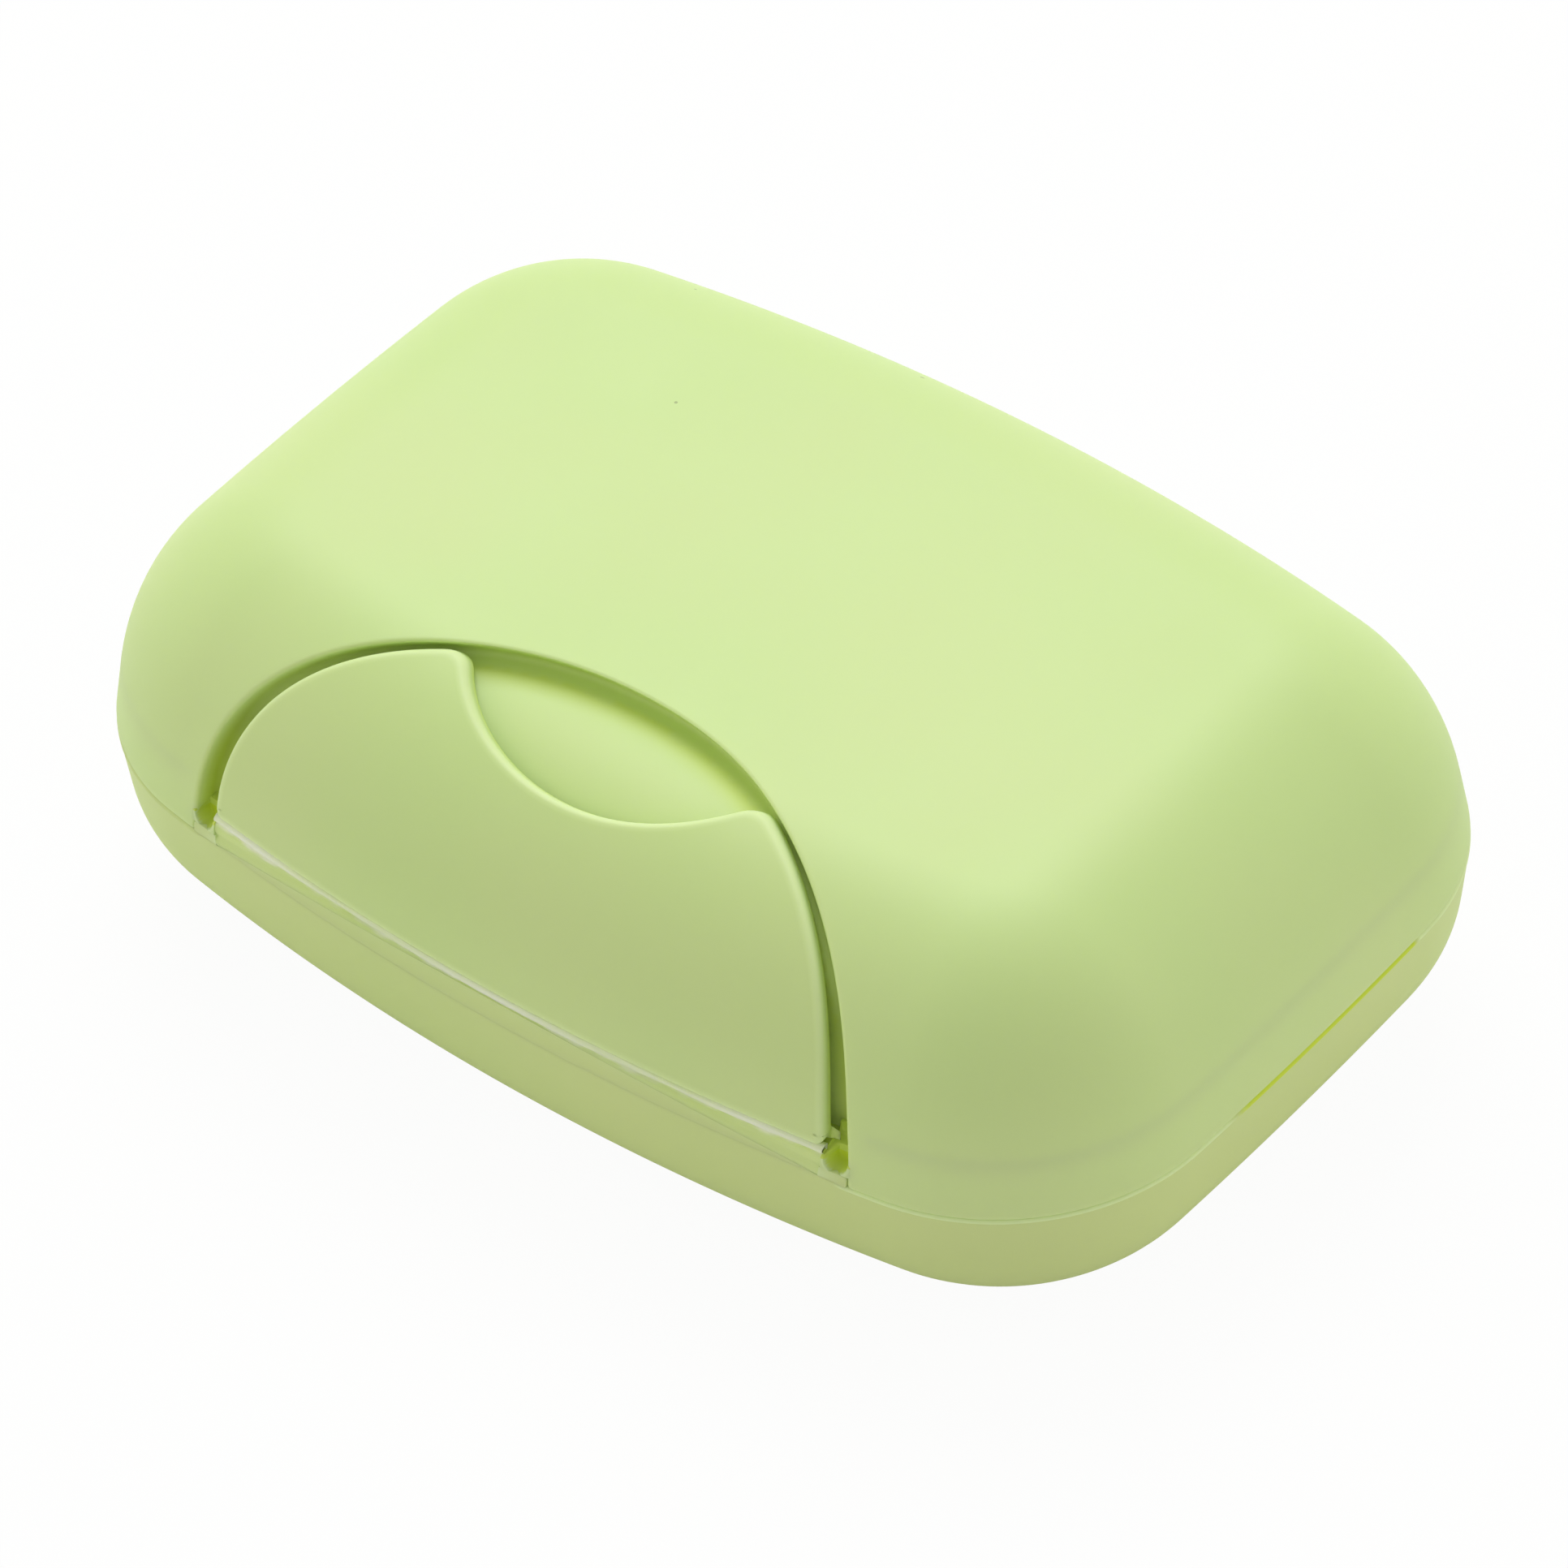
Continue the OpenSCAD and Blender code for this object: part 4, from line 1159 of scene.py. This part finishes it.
@dataclass(frozen=True)
class BaseShell:
    """Lower shell with its sealing rim, and the arched tongue that carries the latch."""

    wall: float = 1.8
    edge_round: float = 0.42
    edge_sharp: float = 0.02
    flange_top: float = 17.0
    flange_low: float = 15.6
    flange_in: float = 5.4
    rim_out: float = 4.9
    rim_in: float = 5.9
    rim_low: float = 16.0
    rim_top: float = 19.7
    pad_low: float = 14.1
    pad_high: float = 17.0
    painted_gap_shade_from: float = -11.0
    tongue_turn: float = 0.2

    def bowl(self, sketch: MeshSketch) -> None:
        """Builds outside, flange, rim and inside as one surface."""
        u = np.linspace(0, PLAN.total, 361)[:-1]
        along = np.concatenate([np.linspace(BASE_FORM.end, 5.5, 34)[:-1], np.linspace(5.5, 0.45, 16)])
        d, z = BASE_FORM.at(along, 0.0)
        s_in = float(BASE_FORM.at_height(PARTING - self.flange_low, self.wall))
        d_in, z_in = BASE_FORM.at(np.linspace(s_in, BASE_FORM.end, 40), self.wall)
        blocks = []
        for r in (self.edge_round, self.edge_sharp):
            bend = ((0, 1), (0.06, 0.7), (0.3, 0.3), (0.7, 0.06), (1, 0))
            profile = list(zip(d, PARTING - z)) + [(a * r, PARTING - b * r) for a, b in bend]
            profile += rounded([
                (r, PARTING, 0), (self.wall, PARTING, 0.1),
                (self.wall, self.flange_top, 0.1), (self.rim_out, self.flange_top, 0.25),
                (self.rim_out, self.rim_top, 0.3), (self.rim_in, self.rim_top, 0.3),
                (self.rim_in, self.rim_low, 0.15), (self.flange_in, self.rim_low, 0.1),
                (self.flange_in, self.flange_low, 0.15), (float(d_in[0]), self.flange_low, 0),
            ])[1:]
            profile += list(zip(d_in, PARTING - z_in))[1:]
            blocks.append(ring_points(profile, u))
        edge, outside = len(d), len(d) + 5
        x, y = blocks[0][0, :, 0], blocks[0][edge, :, 1]
        at_front = (1 - smoothstep(np.abs(blocks[0][edge, :, 0]), 35.2, 35.9)) * PLAN.is_front(u)
        rows = blended(*blocks, at_front)
        lift = ridge_relief(rows[:outside, :, 2] - PARTING, rows[:outside, :, 0])
        rows[:outside, :, 1] += lift * PLAN.is_front(u)[None]
        marks = np.zeros(rows.shape[:2])
        # painted highlight along the base's edge rounding on the right, turning into painted shade near the
        # right end where the parting looks open; none at the front
        shade = (x > 40) * smoothstep(y, self.painted_gap_shade_from - 2, self.painted_gap_shade_from + 2)
        pale = -0.9 * smoothstep(x, 20, 30)
        marks[edge:outside] = ((pale + (1.0 - pale) * shade) * (1 - at_front))[None]
        # painted shade on the top of the wall and the flange
        marks[outside + 2 : outside + 12] = 0.3
        index = sketch.add(rows, marks.ravel())
        sketch.grid(index, True)
        sketch.cap(index[0][::-1])
        sketch.cap(index[-1])

    def tongue(self, sketch: MeshSketch) -> None:
        """Builds the arched wall that stands on the front edge, with a cheek at each end."""
        arch_half = LATCH.flap.half - 0.42
        half = LATCH.cheek_half
        from_end, from_arch = np.array([0.0, 0.03, 0.1, 0.2]), np.array([0.3, 0.1, 0.0])
        near = np.concatenate([half - from_end, arch_half + from_arch])
        x = np.concatenate([-near, np.linspace(0.05 - arch_half, arch_half - 0.05, 160), near[::-1]])
        arch = LATCH.tongue * (1 - (x / arch_half) ** 2)
        cheek = np.abs(x) > arch_half
        height = np.where(cheek, LATCH.cheek, np.maximum(arch, 0.02))
        to_side = np.minimum(half - np.abs(x), np.abs(x) - arch_half)
        bend = np.clip(1 - np.maximum(to_side, 0) / self.tongue_turn, 0, 1)
        height = np.where(cheek, height - self.tongue_turn * (1 - np.sqrt(1 - bend**2)), height)
        rows = []
        marks = []
        t = LATCH.tongue_t
        # marks: painted shade on the tongue's back, painted highlight along its top edge
        for inset, drop, mark in (
            (t, 99.0, 0.3), (t, 0.3, 0.3), (t - 0.12, 0.08, 0.3), (t - 0.3, 0.0, 0.2),
            (0.32, 0.0, -0.2), (0.12, 0.0, -0.25), (0.03, 0.01, -0.25), (0.0, 0.05, -0.15),
            (0.0, 0.6, 0.0), (0.0, 0.8, 0.0), (0.0, 99.0, 0.0),
        ):
            if drop > 1:
                z = np.full(len(x), -0.05 if inset > 0 else 0.0)
            elif drop >= 0.6:
                z = height * (1 - drop)
            else:
                down = np.minimum(drop, height * drop / 0.35)
                z = np.maximum(height - down * np.where(cheek, 1.0, 0.12), 0.0)
            row = LID_FORM.level(x, z, inset)
            if inset < t - 0.3:
                row[:, 1] += ridge_relief(z, x)
            rows.append(row)
            # painted highlight where the arch meets the cheeks
            end = -0.8 * bell(np.abs(x), arch_half + 0.12, 0.3) * (drop <= 1 and inset < 1)
            marks.append(np.where(end < -0.1, end, mark))
        index = sketch.add(np.array(rows), np.concatenate(marks))
        sketch.grid(index[::-1])
        sketch.cap(index[:, -1])
        sketch.cap(index[::-1, 0])

    def build(self) -> bpy.types.Object:
        """Returns: the base, standing for its CAD node."""
        sketch = MeshSketch()
        self.bowl(sketch)
        self.tongue(sketch)
        hinge_pad(sketch, self.pad_low, self.pad_high, BASE_FORM)
        piece = sketch.build("base", BASE_FINISH, "base")
        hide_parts("base_shell")
        return piece


@dataclass(frozen=True)
class LatchFilm:
    """Thin hinge film between the tongue's arch and the flap's foot, paler where it folds: whitening with
    painted glints along it.
    """

    fold_y: float = -0.0395
    flush: float = 0.015
    # places and reaches of the painted glints along the fold
    bright: tuple[tuple[float, float], ...] = ((-28.5, 5.0), (0.0, 8.0), (27.0, 5.0))

    def build(self) -> bpy.types.Object:
        """Returns: the film, which stands for its CAD node."""
        sketch = MeshSketch()
        half = LATCH.flap.half - 0.1
        x = np.linspace(-half, half, 160)
        low = np.maximum(LATCH.tongue * (1 - (x / (half + 0.13)) ** 2) - 0.15, 0.03)
        high = LATCH.foot + 0.12
        wobble = 0.05 * np.sin(x * 0.9 + 1.0) + 0.04 * np.sin(x * 2.3)
        white = 0.72 + 1.6 * wobble + 0.16 * bell(x, -29.5, 4.5)
        whitening_and_glint = 0.62 + sum(0.38 * bell(x, place, reach) for place, reach in self.bright)
        outer = LATCH.web_inset
        fine = [0.0, 0.025, 0.05, 0.1]
        steps = np.concatenate([fine, np.linspace(0.2, 0.6, 4), np.linspace(0.66, 1.0, 10)])
        rows = []
        for inset, order in ((outer, steps), (outer + LATCH.web_t, (1.0, 0.9, 0.7, 0.4, 0.0))):
            for t in order:
                z = low + (high - low) * t
                below = LATCH.foot - z
                bulge = np.full(len(x), inset)
                if inset == outer:
                    up = z - low
                    bulge += ridge_relief(z, x) - 0.2 * smoothstep(up, 0.9, 1.5)
                    edge = (1 - smoothstep(up, 0.35, 1.2)) * smoothstep(up, 0.0, 0.05)
                    bulge -= (outer - self.flush) * edge
                    fold = smoothstep(0.9 - below, 0.0, 0.3) * (1 - smoothstep(0.62 - below, 0.0, 0.22))
                    bulge += 0.2 * fold - 0.07 * bell(below, 0.34, 0.24)
                    bulge += 0.3 * smoothstep(0.1 - below, 0.0, 0.2)
                # the pale fold: whitening, raised by painted glints
                mark = (1 - smoothstep(below / white, 0.75, 1.15)) * whitening_and_glint
                rows.append(sketch.add(LID_FORM.level(x, z, bulge), mark))
        sketch.grid(np.array(rows), False, True)
        piece = sketch.build("latch_hinge_film", WEB_FINISH, "", Edge.SOFT)
        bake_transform(piece)
        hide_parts("latch_hinge_web")
        return piece


@dataclass(frozen=True)
class RearFilm:
    """Thin hinge film between the two rear pads."""

    thick: float = 0.5
    low: float = 17.0
    high: float = 17.6

    def build(self) -> bpy.types.Object:
        """Returns: the film, which stands for its CAD node."""
        sketch = MeshSketch()
        x = np.linspace(0.3 - REAR_HALF, REAR_HALF - 0.3, 60)
        heights = np.linspace(self.low - 0.2, self.high + 0.2, 9)
        rows = []
        for z in heights:
            dip = 0.1 * bell(z, (self.low + self.high) / 2, 0.2)
            rows.append((REAR_OUT - 0.04 - dip, z, smoothstep(0.35 - abs(z - PARTING), 0.0, 0.3)))
        rows += [(REAR_OUT - self.thick, z, 0.0) for z in heights[::-2]]
        index = [sketch.add(np.stack(np.broadcast_arrays(x, y, z), -1), mark) for y, z, mark in rows]
        sketch.grid(np.array(index)[::-1], False, True)
        piece = sketch.build("rear_hinge_film", WEB_FINISH, "", Edge.SOFT)
        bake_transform(piece)
        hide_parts("rear_hinge_web")
        return piece


@dataclass(frozen=True)
class SealingRing:
    """Soft ring in the lid's channel, with a rounded lip below."""

    out: float = 4.7
    inward: float = 6.1
    low: float = 19.95
    high: float = 22.05

    def build(self) -> bpy.types.Object:
        """Returns: the ring, standing for its CAD node."""
        sketch = MeshSketch()
        mid = (self.out + self.inward) / 2
        profile = rounded([
            (mid, self.high, 0), (self.inward, self.high, 0.2), (self.inward, self.low + 0.5, 0.3),
            (mid + 0.3, self.low, 0.25), (mid - 0.3, self.low, 0.25),
            (self.out, self.low + 0.5, 0.3), (self.out, self.high, 0.2), (mid, self.high, 0),
        ])
        index = sketch.add(ring_points(profile[:-1], np.linspace(0, PLAN.total, 241)[:-1]))
        sketch.grid(index, True, True)
        piece = sketch.build("sealing_ring_piece", RING_FINISH, "lid")
        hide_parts("sealing_ring")
        return piece


@dataclass(frozen=True)
class Stage:
    """Pale floor, soft lights and the camera."""

    target: tuple[float, float, float] = (0.0, 0.0, 20.0)
    shift_right: float = -0.281
    shift_up: float = -3.956
    azimuth: float = 40.996
    elevation: float = 43.794
    roll: float = -3.328
    distance: float = 805.449
    focal_px: float = 11393.784
    picture_px: float = 1932.0
    sensor_mm: float = 36.0
    floor_half: float = 3.0
    floor_grey: float = 0.97
    floor_white: float = 0.95
    surround: float = 0.44
    surround_tint: Color = (0.99, 1.0, 0.88)
    window_tint: Color = (0.97, 0.99, 1.0)
    card_tint: Color = (1.0, 0.99, 0.8)

    def camera(self) -> None:
        """Places the camera at the photograph's angle."""
        a, e, r = (math.radians(v) for v in (self.azimuth, self.elevation, self.roll))
        back = Vector((math.sin(a) * math.cos(e), -math.cos(a) * math.cos(e), math.sin(e)))
        right = Vector((math.cos(a), math.sin(a), 0.0))
        up = back.cross(right)
        right_r = right * math.cos(r) + up * math.sin(r)
        up_r = up * math.cos(r) - right * math.sin(r)
        aim = Vector(self.target) + right * self.shift_right + up * self.shift_up
        eye = (aim + back * self.distance) * MM
        data = bpy.data.cameras.new("photo_camera")
        data.sensor_width = self.sensor_mm
        data.lens = self.focal_px / self.picture_px * self.sensor_mm
        data.clip_start = 0.01
        data.clip_end = 20.0
        camera = bpy.data.objects.new("photo_camera", data)
        turn = Matrix((right_r, up_r, back)).transposed()
        camera.matrix_world = Matrix.Translation(eye) @ turn.to_4x4()
        bpy.context.scene.collection.objects.link(camera)
        bpy.context.scene.camera = camera

    def floor(self) -> None:
        """Lays a plain pale floor that shows white to the camera and keeps the shadow."""
        mesh = bpy.data.meshes.new("floor")
        h, grey = self.floor_half, self.floor_grey
        mesh.from_pydata([(-h, -h, 0), (h, -h, 0), (h, h, 0), (-h, h, 0)], [], [(0, 1, 2, 3)])
        material = bpy.data.materials.new("pale_floor")
        material.use_nodes = True
        nodes = material.node_tree.nodes
        b = NodeBuilder(material.node_tree)
        shader = b.feed(nodes["Principled BSDF"], {
            "Base Color": (grey, grey, grey, 1.0), "Roughness": 0.9, "Specular IOR Level": 0.1,
        })
        path = b.node("ShaderNodeLightPath")
        bright = b.node("ShaderNodeEmission", {"Color": (1, 1, 1, 1), "Strength": 1.0})
        share = b.math("MULTIPLY", path.outputs["Is Camera Ray"], self.floor_white)
        b.shade(share, shader.outputs[0], bright.outputs[0], nodes["Material Output"])
        mesh.materials.append(material)
        floor = bpy.data.objects.new("floor", mesh)
        bpy.context.scene.collection.objects.link(floor)

    def lamp(
        self, name: str, place: tuple[float, float, float], size: float, power: float, tint: Color
    ) -> None:
        """Hangs a square soft light that points at the box.

        Args:
            name: the light's name.
            place: where it hangs, in metres.
            size: its side, in metres.
            power: its power in watts.
            tint: its colour.
        """
        data = bpy.data.lights.new(name, "AREA")
        data.shape = "SQUARE"
        data.size = size
        data.energy = power
        data.color = tint
        lamp = bpy.data.objects.new(name, data)
        spot = Vector(place)
        lamp.matrix_world = Matrix.Translation(spot) @ spot.to_track_quat("Z", "Y").to_matrix().to_4x4()
        bpy.context.scene.collection.objects.link(lamp)

    def world(self) -> None:
        """Sets an even white surround."""
        world = bpy.data.worlds.new("white_room")
        world.use_nodes = True
        nodes = world.node_tree.nodes
        b = NodeBuilder(world.node_tree)
        light = b.feed(nodes["Background"], {"Color": (*self.surround_tint, 1.0), "Strength": self.surround})
        seen = b.node("ShaderNodeBackground", {"Color": (1, 1, 1, 1), "Strength": 1.0})
        path = b.node("ShaderNodeLightPath").outputs
        either = b.math("MAXIMUM", path["Is Camera Ray"], path["Is Glossy Ray"])
        either = b.math("MAXIMUM", either, path["Is Transmission Ray"])
        b.shade(either, light.outputs[0], seen.outputs[0], nodes["World Output"])
        bpy.context.scene.world = world

    def build(self) -> None:
        """Makes camera, floor, lights and surround."""
        self.camera()
        self.floor()
        self.lamp("window_light", (-0.5, 0.6, 1.1), 0.9, 10.4, self.window_tint)
        self.lamp("left_card", (-0.95, -0.8, 0.4), 1.0, 2.9, self.card_tint)
        self.lamp("right_card", (1.0, 0.65, 0.4), 1.0, 2.5, self.card_tint)
        self.world()
        bpy.context.scene.view_settings.view_transform = "Standard"
        LOG.info("stage: camera, floor, a soft light, two cards and a white surround")


def dress_tray() -> None:
    """Gives the drain tray's solid its moulded finish."""
    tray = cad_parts["drain_tray"]
    material = TRAY_FINISH.material()
    for slot in tray.material_slots:
        slot.material = material
    LOG.info("drain_tray: the solid in its own finish, rides on tray")


def main() -> None:
    """Builds the stage, then the box piece by piece."""
    logging.basicConfig(level=logging.INFO, format="%(name)s: %(message)s")
    Stage().build()
    BaseShell().build()
    LidShell().build()
    LatchFlap().build()
    LatchFilm().build()
    RearFilm().build()
    SealingRing().build()
    dress_tray()


if __name__ == "__main__":
    main()
